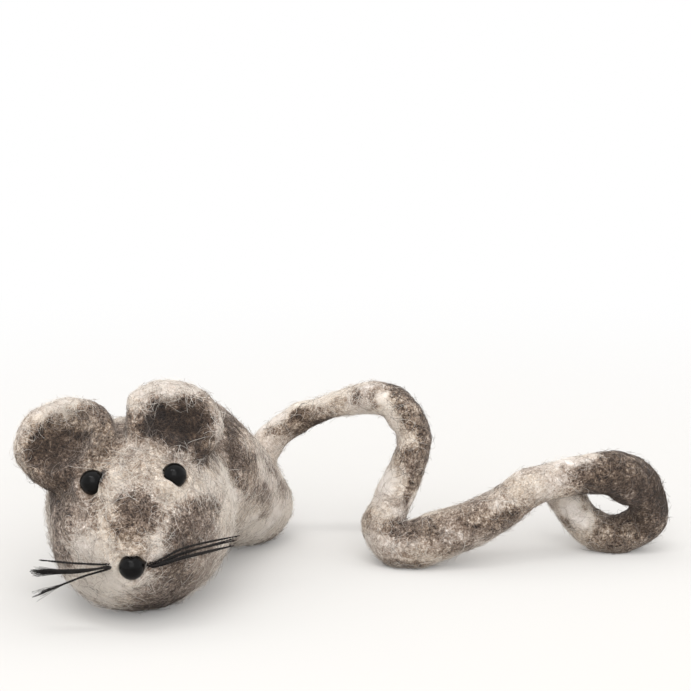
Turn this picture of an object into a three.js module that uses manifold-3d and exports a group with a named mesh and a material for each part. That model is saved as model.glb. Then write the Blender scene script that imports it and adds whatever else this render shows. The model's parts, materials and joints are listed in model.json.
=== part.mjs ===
// A felted wool mouse with dried catnip inside, a cat's toy.
// Millimetres, +Z up. The mouse lies on the plane z = 0 and faces -Y,
// and the origin is on the flat under its head. "Left" and "right" are the mouse's own.

import * as THREE from 'three';
import { mergeVertices } from 'three/addons/utils/BufferGeometryUtils.js';
import Module from 'manifold-3d';

// Clearances and small overruns
const gap = 0.3;
const threadGap = 0.25;
const restDepth = 0.5;
const overrun = 4;
const weldDistance = 0.0001;

// Head: a felted ball with a blunt snout, hollow and open at the neck
const headRadius = 25;
const snoutRise = 4.6;
const snoutSpread = 33;
const snoutAzimuth = -3.6;
const snoutElevation = -10.3;
const headWall = 7;
const neckRadius = 8;

// Body: a pear that falls from the shoulders to the rump, hollow and open to the head.
// It arches over the table between the head and the rump.
const shoulderRadius = 20.5;
const shoulderX = 13;
const shoulderY = 25;
const bellyHeight = 8;
const rumpRadius = 13;
const rumpX = 31.8;
const rumpY = 51.5;
const bodyWall = 5;

// Ears: cupped flaps, each on a rolled root that lies in a groove of the head
const earRollRadius = 3.1;
const earRollShare = 0.3;
const earSeatDepth = 1;
const earCupRim = 3.4;
const earCupRaise = 1.4;
const earCupShare = 0.42;
const earThickness = 11;
const earFaceLift = 16;
const earFoldBack = 25;
const earFoldForward = -8;
const ears = {
  right: { azimuth: -48.4, elevation: 44.4, roll: 36, turn: -12, halfWidth: 14, halfHeight: 11, rise: 6.8, slide: -1.7 },
  left: { azimuth: 43.3, elevation: 54.9, roll: -20, turn: 10, halfWidth: 12.9, halfHeight: 10.8, rise: 6, slide: -1.9 },
};

// Beads of the eyes and nose, each sewn on with a loop of thread through its hole
const beadDiameter = 6.4;
const beadHole = 1.7;
const beadStandOff = 0.2;
const threadDiameter = 0.6;
const stitchHalfWidth = 4.1;
const stitchCover = 2;
const stitchSquareness = 6;
const knotDiameter = 1.8;
const beads = {
  eye_right: { azimuth: -30.7, elevation: 32.1, turn: 20 },
  eye_left: { azimuth: 26.1, elevation: 35.4, turn: -20 },
  nose: { azimuth: snoutAzimuth, elevation: snoutElevation, turn: 90 },
};

// Whiskers: waxed threads that run through the snout, between the nose bead and its knot
const whiskerDiameter = 0.46;
const whiskerSpacing = 0.56;
const whiskerReach = 25;
const whiskerDepthShare = 0.58;
const whiskerExit = 4.9;
const whiskerExitDepth = 0.9;
const whiskerEntryShare = 0.55;
const whiskerEntryDepthShare = 0.68;

// Each thread's place in the bundle as a turn and a share of the spacing, then the middle
// and the tip of its two free ends as shares of the reach: across, up and outward
const whiskerShares = [
  { turn: 0, apart: 0, right: [[-0.5, -0.045, -0.03], [-1.01, -0.1, -0.08]], left: [[0.5, 0.08, -0.12], [1.03, 0.09, -0.37]] },
  { turn: 0, apart: 1, right: [[-0.5, -0.03, 0], [-1.0, -0.075, -0.04]], left: [[0.5, 0.075, -0.06], [1.0, 0.05, -0.32]] },
  { turn: 90, apart: 1, right: [[-0.5, 0.02, -0.04], [-0.92, 0.03, -0.12]], left: [[0.49, 0.125, -0.13], [1.06, 0.135, -0.38]] },
  { turn: 180, apart: 1, right: [[-0.5, -0.06, -0.065], [-1.0, -0.125, -0.12]], left: [[0.5, 0.055, -0.17], [1.0, 0.08, -0.42]] },
  { turn: 270, apart: 1, right: [[-0.5, -0.12, -0.03], [-0.99, -0.33, -0.02]], left: [[0.49, 0.025, -0.11], [0.96, 0.02, -0.36]] },
];

// Tail: one felt rope, from a ball seated in the rump to a round end behind the curl
const tailDiameter = 12;
const tailRootDiameter = 10.4;
const tailSeatDepth = 1.2;
const tailAzimuth = 33;
const tailElevation = 67;
const tailSwingAngle = 18;
const tailReach = 109;
const tailDepth = 30;
const tailRise = 46;
const tailTurnShare = 4;

// The rope's route from the root: shares of its reach along X, of its depth along -Y and of
// its rise above the table, then its thickness as a share of the diameter. Where the rise
// is null the rope lies on the table.
const tailRouteShares = [
  [0.065, 0.02, 0.74, 0.58],
  [0.19, 0.16, 0.93, 0.66],
  [0.28, 0.31, 0.99, 0.75],
  [0.335, 0.41, 0.985, 0.8],
  [0.369, 0.47, 0.89, 0.82],
  [0.383, 0.51, 0.77, 0.84],
  [0.367, 0.53, 0.61, 0.85],
  [0.344, 0.54, 0.48, 0.87],
  [0.319, 0.557, 0.36, 0.92],
  [0.304, 0.595, 0.265, 0.98],
  [0.309, 0.645, 0.19, 1.05],
  [0.336, 0.7, null, 1.11],
  [0.388, 0.757, 0.145, 1.14],
  [0.456, 0.8, 0.21, 1.14],
  [0.53, 0.835, 0.28, 1.07],
  [0.595, 0.84, 0.36, 0.94],
  [0.665, 0.84, 0.46, 0.82],
  [0.76, 0.82, 0.525, 0.79],
  [0.885, 0.76, 0.545, 1.02],
  [0.965, 0.7, 0.465, 1.02],
  [1.0, 0.63, 0.32, 0.97],
  [0.985, 0.55, 0.18, 0.98],
  [0.91, 0.5, null, 0.9],
  [0.83, 0.46, 0.19, 0.9],
  [0.795, 0.42, 0.315, 0.88],
  [0.765, 0.4, 0.44, 0.84],
];

// Fineness of the facets
const ringShare = 0.7;
const headSides = 28;
const headRings = 16;
const cavitySides = 11;
const clearanceSides = 24;
const bodySides = 24;
const bodyArcSteps = 6;
const hollowSides = 14;
const hollowArcSteps = 4;
const earSides = 20;
const earRings = 12;
const rollSides = 10;
const rollRings = 3;
const beadSides = 14;
const socketSides = 10;
const tailSides = 10;
const tailSteps = 60;
const tailSocketSides = 16;
const loopSides = 5;
const loopSteps = 16;
const knotSides = 6;
const holeSides = 8;
const holeSteps = 10;
const whiskerSides = 5;
const whiskerSteps = 24;

const wasm = await Module();
wasm.setup();

// Turns a closed geometry into a solid that can be joined and cut
function solidOf(geometry) {
  const bare = geometry.clone();
  bare.deleteAttribute('normal');
  bare.deleteAttribute('uv');
  const welded = mergeVertices(bare, weldDistance);
  const corners = welded.index.array;
  const faces = [];
  for (let i = 0; i < corners.length; i += 3) {
    const [a, b, c] = [corners[i], corners[i + 1], corners[i + 2]];
    if (a !== b && b !== c && c !== a) {
      faces.push(a, b, c);
    }
  }
  return new wasm.Manifold(new wasm.Mesh({
    numProp: 3,
    vertProperties: new Float32Array(welded.attributes.position.array),
    triVerts: new Uint32Array(faces),
  }));
}

// Turns a solid back into a geometry
function geometryOf(solid) {
  const mesh = solid.getMesh();
  const geometry = new THREE.BufferGeometry();
  geometry.setAttribute('position', new THREE.BufferAttribute(new Float32Array(mesh.vertProperties), 3));
  geometry.setIndex(new THREE.BufferAttribute(new Uint32Array(mesh.triVerts), 1));
  geometry.computeVertexNormals();
  return geometry;
}

function cut(geometry, cutters) {
  return geometryOf(cutters.reduce((solid, cutter) => solid.subtract(solidOf(cutter)), solidOf(geometry)));
}

function join(geometry, others) {
  return geometryOf(others.reduce((solid, other) => solid.add(solidOf(other)), solidOf(geometry)));
}

function moved(geometry, matrix) {
  return geometry.clone().applyMatrix4(matrix);
}

function radians(degrees) {
  return THREE.MathUtils.degToRad(degrees);
}

// The direction at an azimuth from straight ahead (-Y) towards +X, and at an elevation
function directionOf(azimuth, elevation) {
  const level = Math.cos(radians(elevation));
  const across = level * Math.sin(radians(azimuth));
  const ahead = level * Math.cos(radians(azimuth));
  return new THREE.Vector3(across, -ahead, Math.sin(radians(elevation)));
}

function ball(radius, sides, centre) {
  const geometry = new THREE.SphereGeometry(radius, sides, Math.ceil(sides * ringShare));
  return geometry.translate(centre.x, centre.y, centre.z);
}

// A closed tube whose thickness may change along its curve, as rings joined by quads
function sweptTube(curve, radiusAt, sides, steps, closed) {
  const frames = curve.computeFrenetFrames(steps, closed);
  const rings = closed ? steps : steps + 1;
  const positions = [];
  for (let i = 0; i < rings; i += 1) {
    const centre = curve.getPointAt(i / steps);
    const radius = radiusAt(i / steps);
    for (let j = 0; j < sides; j += 1) {
      const angle = (2 * Math.PI * j) / sides;
      const point = centre.clone();
      point.addScaledVector(frames.normals[i], radius * Math.cos(angle));
      point.addScaledVector(frames.binormals[i], radius * Math.sin(angle));
      positions.push(point.x, point.y, point.z);
    }
  }
  const faces = [];
  for (let i = 0; i < (closed ? rings : rings - 1); i += 1) {
    for (let j = 0; j < sides; j += 1) {
      const here = i * sides + j;
      const beside = i * sides + ((j + 1) % sides);
      const ahead = ((i + 1) % rings) * sides;
      faces.push(here, beside, ahead + j, beside, ahead + ((j + 1) % sides), ahead + j);
    }
  }
  if (!closed) {
    const last = (rings - 1) * sides;
    for (let j = 1; j < sides - 1; j += 1) {
      faces.push(0, j + 1, j);
      faces.push(last, last + j, last + j + 1);
    }
  }
  const geometry = new THREE.BufferGeometry();
  geometry.setAttribute('position', new THREE.Float32BufferAttribute(positions, 3));
  geometry.setIndex(faces);
  return geometry;
}

// A tube of even thickness along a curve
function plainTube(curve, radius, sides, steps) {
  const section = new THREE.Shape();
  for (let j = 0; j < sides; j += 1) {
    const angle = (2 * Math.PI * j) / sides;
    const across = radius * Math.cos(angle);
    const along = radius * Math.sin(angle);
    if (j === 0) {
      section.moveTo(across, along);
    } else {
      section.lineTo(across, along);
    }
  }
  section.closePath();
  return new THREE.ExtrudeGeometry(section, { steps, extrudePath: curve });
}

// A rounded square loop in the XZ plane, from the bead's centre down into the felt
class StitchLoop extends THREE.Curve {
  constructor(depth) {
    super();
    this.halfDepth = depth / 2;
  }

  getPoint(share, target = new THREE.Vector3()) {
    const angle = 2 * Math.PI * share;
    const [c, s] = [Math.cos(angle), Math.sin(angle)];
    const size = (Math.abs(c) ** stitchSquareness + Math.abs(s) ** stitchSquareness) ** (-1 / stitchSquareness);
    return target.set(stitchHalfWidth * c * size, 0, this.halfDepth * (s * size - 1));
  }
}

// Materials
function wool(color) {
  return new THREE.MeshStandardMaterial({ color, roughness: 0.95, metalness: 0 });
}

const greyWool = wool('#8f857b');
const paleWool = wool('#c6bcae');
const darkWool = wool('#6f645c');
const herb = new THREE.MeshStandardMaterial({ color: '#6f7346', roughness: 1, metalness: 0 });
const glossBlack = new THREE.MeshStandardMaterial({ color: '#0c0b0b', roughness: 0.15, metalness: 0 });
const blackThread = new THREE.MeshStandardMaterial({ color: '#1a1715', roughness: 0.6, metalness: 0 });

function named(name, geometry, material) {
  const mesh = new THREE.Mesh(geometry, material);
  mesh.name = name;
  return mesh;
}

// The table, as a block to cut the flats with
function tableBlock() {
  const span = 2 * (tailReach + shoulderRadius + headRadius + overrun);
  return new THREE.BoxGeometry(span, span, span).translate(0, 0, -span / 2);
}

// Head
const headCentre = new THREE.Vector3(0, 0, headRadius - restDepth);
const snoutDirection = directionOf(snoutAzimuth, snoutElevation);

// The head's reach from its centre in a direction
function headReach(angle) {
  return headRadius + snoutRise * Math.exp(-((angle / radians(snoutSpread)) ** 2));
}

function headForm(offset) {
  const profile = [];
  for (let i = 0; i <= headRings; i += 1) {
    const angle = Math.PI * (1 - i / headRings);
    const reach = headReach(angle) + offset;
    profile.push(new THREE.Vector2(reach * Math.sin(angle), reach * Math.cos(angle)));
  }
  const geometry = new THREE.LatheGeometry(profile, headSides);
  const turn = new THREE.Quaternion().setFromUnitVectors(new THREE.Vector3(0, 1, 0), snoutDirection);
  return geometry.applyQuaternion(turn).translate(headCentre.x, headCentre.y, headCentre.z);
}

// A place on the head: its Z points out of the felt, its X lies level and is then turned
function headSeat({ azimuth, elevation, turn }, standOff) {
  const out = directionOf(azimuth, elevation);
  const across = new THREE.Vector3().crossVectors(out, new THREE.Vector3(0, 0, 1)).negate().normalize();
  const up = new THREE.Vector3().crossVectors(out, across);
  const seat = new THREE.Group();
  seat.quaternion.setFromRotationMatrix(new THREE.Matrix4().makeBasis(across, up, out));
  seat.rotateZ(radians(turn));
  seat.position.copy(headCentre).addScaledVector(out, headReach(out.angleTo(snoutDirection)) + standOff);
  seat.updateMatrix();
  return seat;
}

// How deep a bead's stitch runs, with its knot in the felt over the hollow
function stitchDepth(bead) {
  const reach = headReach(directionOf(bead.azimuth, bead.elevation).angleTo(snoutDirection));
  return reach + beadStandOff - (headRadius - headWall) - stitchCover;
}

// Body
const shoulderCentre = new THREE.Vector3(shoulderX, shoulderY, shoulderRadius + bellyHeight);
const rumpCentre = new THREE.Vector3(rumpX, rumpY, rumpRadius - restDepth);

// Two balls and the cone that touches both, as one profile turned about their common axis
function bodyForm(offset, sides = bodySides, arcSteps = bodyArcSteps) {
  const axis = new THREE.Vector3().subVectors(shoulderCentre, rumpCentre);
  const length = axis.length();
  const lean = Math.asin((shoulderRadius - rumpRadius) / length);
  const profile = [];
  for (let i = 0; i <= arcSteps; i += 1) {
    const angle = -Math.PI / 2 + (i / arcSteps) * (Math.PI / 2 - lean);
    const radius = rumpRadius + offset;
    profile.push(new THREE.Vector2(radius * Math.cos(angle), radius * Math.sin(angle)));
  }
  for (let i = 0; i <= arcSteps; i += 1) {
    const angle = -lean + (i / arcSteps) * (Math.PI / 2 + lean);
    const radius = shoulderRadius + offset;
    profile.push(new THREE.Vector2(radius * Math.cos(angle), length + radius * Math.sin(angle)));
  }
  profile[0].x = 0;
  profile[profile.length - 1].x = 0;
  const geometry = new THREE.LatheGeometry(profile, sides);
  const turn = new THREE.Quaternion().setFromUnitVectors(new THREE.Vector3(0, 1, 0), axis.normalize());
  return geometry.applyQuaternion(turn).translate(rumpCentre.x, rumpCentre.y, rumpCentre.z);
}

// Where a line from a point inside a form leaves it
function surfacePoint(geometry, origin, direction) {
  const mesh = new THREE.Mesh(geometry, new THREE.MeshBasicMaterial({ side: THREE.DoubleSide }));
  const hits = new THREE.Raycaster(origin, direction).intersectObject(mesh);
  return hits[hits.length - 1].point;
}

// Ears
function earGroup(ear) {
  const out = directionOf(ear.azimuth, ear.elevation);
  const group = new THREE.Group();
  group.position.copy(headCentre).addScaledVector(out, headRadius - earSeatDepth);
  group.rotation.set(radians(90 - earFaceLift), 0, radians(ear.turn), 'ZXY');
  group.rotateZ(radians(ear.roll));
  group.updateMatrix();
  return group;
}

function earRoll(ear, offset) {
  const length = 2 * ear.halfWidth * earRollShare;
  return new THREE.CapsuleGeometry(earRollRadius + offset, length, rollRings, rollSides).rotateZ(Math.PI / 2);
}

// The flap in its own frame: X along the root, Y towards the tip and Z out of the cup
function earFlap(ear, group) {
  const outer = new THREE.SphereGeometry(1, earSides, earRings).rotateX(Math.PI / 2);
  outer.scale(ear.halfWidth, ear.halfHeight, earThickness / 2).translate(ear.slide, ear.rise, 0);
  const cup = new THREE.SphereGeometry(1, earSides, earRings).rotateX(Math.PI / 2);
  cup.scale(ear.halfWidth - earCupRim, ear.halfHeight - earCupRim, earThickness / 2);
  cup.translate(ear.slide, ear.rise + earCupRaise, earThickness * earCupShare);
  const inward = group.matrix.clone().invert();
  const headHere = moved(ball(headRadius + gap, clearanceSides, headCentre), inward);
  const limits = [earFoldForward, 0, earFoldBack];
  const clearances = limits.map((fold) => headHere.clone().rotateX(radians(fold)));
  return join(cut(outer, [cup, ...clearances]), [earRoll(ear, 0)]);
}

// Tail
const bodyOuter = bodyForm(0);
const tailDirection = directionOf(tailAzimuth, tailElevation);
const tailRoot = surfacePoint(bodyOuter, rumpCentre, tailDirection).addScaledVector(tailDirection, -tailSeatDepth);

function tailRoute() {
  const points = [tailRoot.clone()];
  for (const [reach, depth, rise, thickness] of tailRouteShares) {
    const resting = (thickness * tailDiameter) / 2 - restDepth;
    const height = rise === null ? resting : rise * tailRise;
    points.push(new THREE.Vector3(tailRoot.x + reach * tailReach, tailRoot.y - depth * tailDepth, height));
  }
  return new THREE.CatmullRomCurve3(points, false, 'centripetal');
}

// The rope's radius at a share of its length
function tailRadiusAt(route, along) {
  const shares = [tailRootDiameter / tailDiameter, ...tailRouteShares.map((row) => row[3])];
  const place = Math.min(route.getUtoTmapping(along), 1) * (shares.length - 1);
  const before = Math.min(Math.floor(place), shares.length - 2);
  return (THREE.MathUtils.lerp(shares[before], shares[before + 1], place - before) * tailDiameter) / 2;
}

// The least gap between stretches of the rope that are further apart along it than a turn
function leastGapToItself(route) {
  const length = route.getLength();
  const rings = Array.from({ length: tailSteps + 1 }, (_, i) => {
    const along = i / tailSteps;
    return { at: along * length, centre: route.getPointAt(along), radius: tailRadiusAt(route, along) };
  });
  let least = length;
  for (const one of rings) {
    for (const other of rings.filter((ring) => ring.at - one.at > tailTurnShare * tailDiameter)) {
      least = Math.min(least, one.centre.distanceTo(other.centre) - one.radius - other.radius);
    }
  }
  return least;
}

// A turn about the upright axis through the tail's root
function swungAtRoot(geometry, swing) {
  const turned = geometry.translate(-tailRoot.x, -tailRoot.y, -tailRoot.z).rotateZ(radians(swing));
  return turned.translate(tailRoot.x, tailRoot.y, tailRoot.z);
}

function tailForm() {
  const route = tailRoute();
  const rope = sweptTube(route, (along) => tailRadiusAt(route, along), tailSides, tailSteps, false);
  const root = ball(tailRootDiameter / 2, tailSides, tailRoot);
  const tip = ball(tailRadiusAt(route, 1), tailSides, route.getPoint(1));
  const clearances = [-tailSwingAngle, 0, tailSwingAngle].map((swing) => swungAtRoot(bodyForm(gap), swing));
  console.log(`least gap of the tail to itself: ${leastGapToItself(route).toFixed(2)} mm`);
  return cut(join(cut(join(rope, [tip]), clearances), [root]), [tableBlock()]);
}

// Whiskers, in the frame of the nose bead: X across, Y up and Z out of the snout
const whiskerDepth = stitchDepth(beads.nose) * whiskerDepthShare;
const whiskerEntry = whiskerExit * whiskerEntryShare;
const whiskerEntryDepth = whiskerDepth * whiskerEntryDepthShare;
const whiskerStations = [
  new THREE.Vector3(-whiskerExit, 0, -whiskerExitDepth),
  new THREE.Vector3(-whiskerEntry, 0, -whiskerEntryDepth),
  new THREE.Vector3(0, 0, -whiskerDepth),
  new THREE.Vector3(whiskerEntry, 0, -whiskerEntryDepth),
  new THREE.Vector3(whiskerExit, 0, -whiskerExitDepth),
];

function whiskerCurve(row) {
  const aside = row.apart * whiskerSpacing * Math.cos(radians(row.turn));
  const upward = row.apart * whiskerSpacing * Math.sin(radians(row.turn));
  const place = (shares) => new THREE.Vector3(...shares).multiplyScalar(whiskerReach);
  const middle = new THREE.CatmullRomCurve3(whiskerStations);
  const inside = whiskerStations.map((station, i) => {
    const tangent = middle.getTangent(i / (whiskerStations.length - 1));
    const normal = new THREE.Vector3(-tangent.z, 0, tangent.x);
    return station.clone().addScaledVector(normal, aside).add(new THREE.Vector3(0, upward, 0));
  });
  const points = [place(row.right[1]), place(row.right[0]), ...inside, place(row.left[0]), place(row.left[1])];
  return new THREE.CatmullRomCurve3(points, false, 'centripetal');
}

// The hole through the snout that the whiskers share, run past the surface at both ends
function whiskerHole() {
  const first = whiskerStations[0].clone().add(new THREE.Vector3(-overrun, 0, overrun));
  const last = whiskerStations[whiskerStations.length - 1].clone().add(new THREE.Vector3(overrun, 0, overrun));
  const curve = new THREE.CatmullRomCurve3([first, ...whiskerStations, last], false, 'centripetal');
  return plainTube(curve, whiskerSpacing + whiskerDiameter / 2 + gap, holeSides, holeSteps);
}

// A bead with its hole along X
function beadForm() {
  const hole = new THREE.CylinderGeometry(beadHole / 2, beadHole / 2, beadDiameter + overrun, holeSides);
  return cut(ball(beadDiameter / 2, beadSides, new THREE.Vector3()), [hole.rotateZ(Math.PI / 2)]);
}

function threadForm(depth, offset) {
  const loop = sweptTube(new StitchLoop(depth), () => threadDiameter / 2 + offset, loopSides, loopSteps, true);
  const knot = ball(knotDiameter / 2 + offset, knotSides, new THREE.Vector3(0, 0, -depth));
  return join(loop, [knot]);
}

// Assembly
const mouse = new THREE.Group();
const headCuts = [ball(headRadius - headWall, cavitySides, headCentre)];

// The neck: a round way from the head's hollow towards the shoulders
const neckDirection = new THREE.Vector3().subVectors(shoulderCentre, headCentre).normalize();
const neck = new THREE.CylinderGeometry(neckRadius, neckRadius, headRadius, cavitySides);
neck.translate(0, headRadius - headWall / 2, 0);
neck.applyQuaternion(new THREE.Quaternion().setFromUnitVectors(new THREE.Vector3(0, 1, 0), neckDirection));
neck.translate(headCentre.x, headCentre.y, headCentre.z);
headCuts.push(neck);

for (const [side, ear] of Object.entries(ears)) {
  const group = earGroup(ear);
  group.add(named(`ear_${side}`, earFlap(ear, group), side === 'left' ? darkWool : greyWool));
  headCuts.push(moved(earRoll(ear, gap), group.matrix));
  mouse.add(group);
}

for (const [name, bead] of Object.entries(beads)) {
  const seat = headSeat(bead, beadStandOff);
  const socket = ball(beadDiameter / 2 + gap, socketSides, new THREE.Vector3());
  const depth = stitchDepth(bead);
  const stitch = threadForm(depth, threadGap);
  seat.add(named(`${name}_bead`, beadForm(), glossBlack));
  seat.add(named(`${name}_thread`, threadForm(depth, 0), blackThread));
  headCuts.push(moved(socket, seat.matrix), moved(stitch, seat.matrix));
  mouse.add(seat);
}

const snoutSeat = headSeat({ ...beads.nose, turn: 0 }, beadStandOff);
whiskerShares.forEach((row, index) => {
  const thread = plainTube(whiskerCurve(row), whiskerDiameter / 2, whiskerSides, whiskerSteps);
  snoutSeat.add(named(`whisker_thread_${index + 1}`, thread, blackThread));
});
headCuts.push(moved(whiskerHole(), snoutSeat.matrix));
mouse.add(snoutSeat);

mouse.add(named('head_felt', cut(headForm(0), [...headCuts, tableBlock()]), paleWool));
mouse.add(named('head_core', ball(headRadius - headWall - gap, cavitySides, headCentre), paleWool));

const headRoom = headForm(gap);
const tailSocket = ball(tailRootDiameter / 2 + gap, tailSocketSides, tailRoot);
const hollow = bodyForm(-bodyWall, hollowSides, hollowArcSteps);
const filling = bodyForm(-bodyWall - gap, hollowSides, hollowArcSteps);
const bodyCuts = [hollow, headRoom, tailSocket, tableBlock()];
mouse.add(named('body_felt', cut(bodyOuter, bodyCuts), greyWool));
mouse.add(named('catnip_filling', cut(filling, [headRoom, tailSocket]), herb));
mouse.add(named('tail', tailForm(), darkWool));

export default mouse;
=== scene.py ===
"""A felted wool catnip mouse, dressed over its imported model.

The head is one wet-felted ball with a blunt snout and two cupped ears, the body is a pear that
falls to the rump, and the tail is a long felt rope. Three black beads are sewn on with thread,
and five waxed threads run through the snout as whiskers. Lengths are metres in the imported
model's frame: the mouse faces -Y and lies on z = 0.
"""
import json
import logging
import math
import random
from collections.abc import Sequence
from dataclasses import dataclass, field
from enum import Enum
from functools import cached_property
from typing import Any

import bmesh
import bpy
import numpy as np
from bmesh.types import BMEdge, BMesh, BMVert
from bpy.types import Curve, Material, Mesh, Object
from mathutils import Matrix, Quaternion, Vector, noise
from mathutils.bvhtree import BVHTree


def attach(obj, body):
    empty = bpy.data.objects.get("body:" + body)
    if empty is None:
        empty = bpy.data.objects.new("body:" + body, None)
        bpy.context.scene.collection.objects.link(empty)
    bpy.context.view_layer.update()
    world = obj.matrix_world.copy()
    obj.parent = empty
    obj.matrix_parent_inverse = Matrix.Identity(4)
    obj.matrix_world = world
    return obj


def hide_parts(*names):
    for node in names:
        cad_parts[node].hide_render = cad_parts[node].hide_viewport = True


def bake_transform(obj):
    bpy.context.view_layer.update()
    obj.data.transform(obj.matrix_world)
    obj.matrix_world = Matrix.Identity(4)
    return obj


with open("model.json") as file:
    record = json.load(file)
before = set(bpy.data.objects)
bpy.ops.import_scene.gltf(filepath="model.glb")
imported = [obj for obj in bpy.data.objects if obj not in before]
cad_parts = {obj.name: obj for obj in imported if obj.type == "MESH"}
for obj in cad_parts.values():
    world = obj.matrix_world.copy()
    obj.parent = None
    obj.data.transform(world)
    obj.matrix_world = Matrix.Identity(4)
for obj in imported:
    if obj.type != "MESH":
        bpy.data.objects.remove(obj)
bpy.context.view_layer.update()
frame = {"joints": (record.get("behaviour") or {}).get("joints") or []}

LOG = logging.getLogger("catnip_mouse")
MM = 0.001
UP = Vector((0.0, 0.0, 1.0))
ORIGIN = Vector((0.0, 0.0, 0.0))
WHITE = (1.0, 1.0, 1.0, 1.0)
Pair = tuple[float, float]
Triple = tuple[float, float, float]
Path = Sequence[Vector]
Settings = dict[str, Any] | None
Inputs = dict[str | int, Any] | None
JOINTS = {joint["name"]: joint for joint in frame["joints"]}


class Body(Enum):
    """The imported model's bodies; pieces are attached to the mouse's, and the ears' give their pieces'
    names.
    """

    MOUSE = "mouse"
    EAR_RIGHT = "ear_right"
    EAR_LEFT = "ear_left"
    TAIL = "tail"


class Slot(Enum):
    """The record's material slots."""

    WOOL_FELT = "wool_felt"
    LOOSE_WOOL = "loose_wool"
    DRIED_CATNIP = "dried_catnip"
    BLACK_BEAD = "black_bead"
    SEWING_THREAD = "sewing_thread"
    WAXED_THREAD = "waxed_thread"


def direction_of(azimuth: float, elevation: float) -> Vector:
    """A direction out of the head.

    Args:
        azimuth: Degrees from straight ahead (-Y) towards +X.
        elevation: Degrees above the level.

    Returns:
        The unit vector.
    """
    turn, lift = math.radians(azimuth), math.radians(elevation)
    return Vector((math.cos(lift) * math.sin(turn), -math.cos(lift) * math.cos(turn), math.sin(lift)))


def smooth_step(low: float, high: float, value: Any) -> Any:
    """A number or an array eased from 0 at low to 1 at high."""
    share = np.clip((value - low) / (high - low), 0.0, 1.0)
    return share * share * (3.0 - 2.0 * share)


@dataclass(frozen=True)
class Tint:
    """A colour as the eye reads it, written as a hex code."""

    code: str

    def linear(self) -> tuple[float, float, float, float]:
        """The colour in the linear values that shaders take."""
        parts = [int(self.code[i:i + 2], 16) / 255 for i in (1, 3, 5)]
        red, green, blue = (p / 12.92 if p <= 0.04045 else ((p + 0.055) / 1.055) ** 2.4 for p in parts)
        return (red, green, blue, 1.0)


class Value:
    """A shader socket, with sums on it written as Python expressions."""

    def __init__(self, shader: "Shader", socket: bpy.types.NodeSocket) -> None:
        """Keeps the socket and the shader that it belongs to."""
        self.shader = shader
        self.socket = socket

    def __add__(self, other: "Value | float") -> "Value":
        """Self plus other."""
        return self.shader.math("ADD", self, other)

    def __radd__(self, other: float) -> "Value":
        """Other plus self."""
        return self.shader.math("ADD", other, self)

    def __sub__(self, other: "Value | float") -> "Value":
        """Self less other."""
        return self.shader.math("SUBTRACT", self, other)

    def __rsub__(self, other: float) -> "Value":
        """Other less self."""
        return self.shader.math("SUBTRACT", other, self)

    def __mul__(self, other: "Value | float") -> "Value":
        """Self times other."""
        return self.shader.math("MULTIPLY", self, other)

    def __rmul__(self, other: float) -> "Value":
        """Other times self."""
        return self.shader.math("MULTIPLY", other, self)

    def __abs__(self) -> "Value":
        """Self without its sign."""
        return self.shader.math("ABSOLUTE", self)


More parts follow.
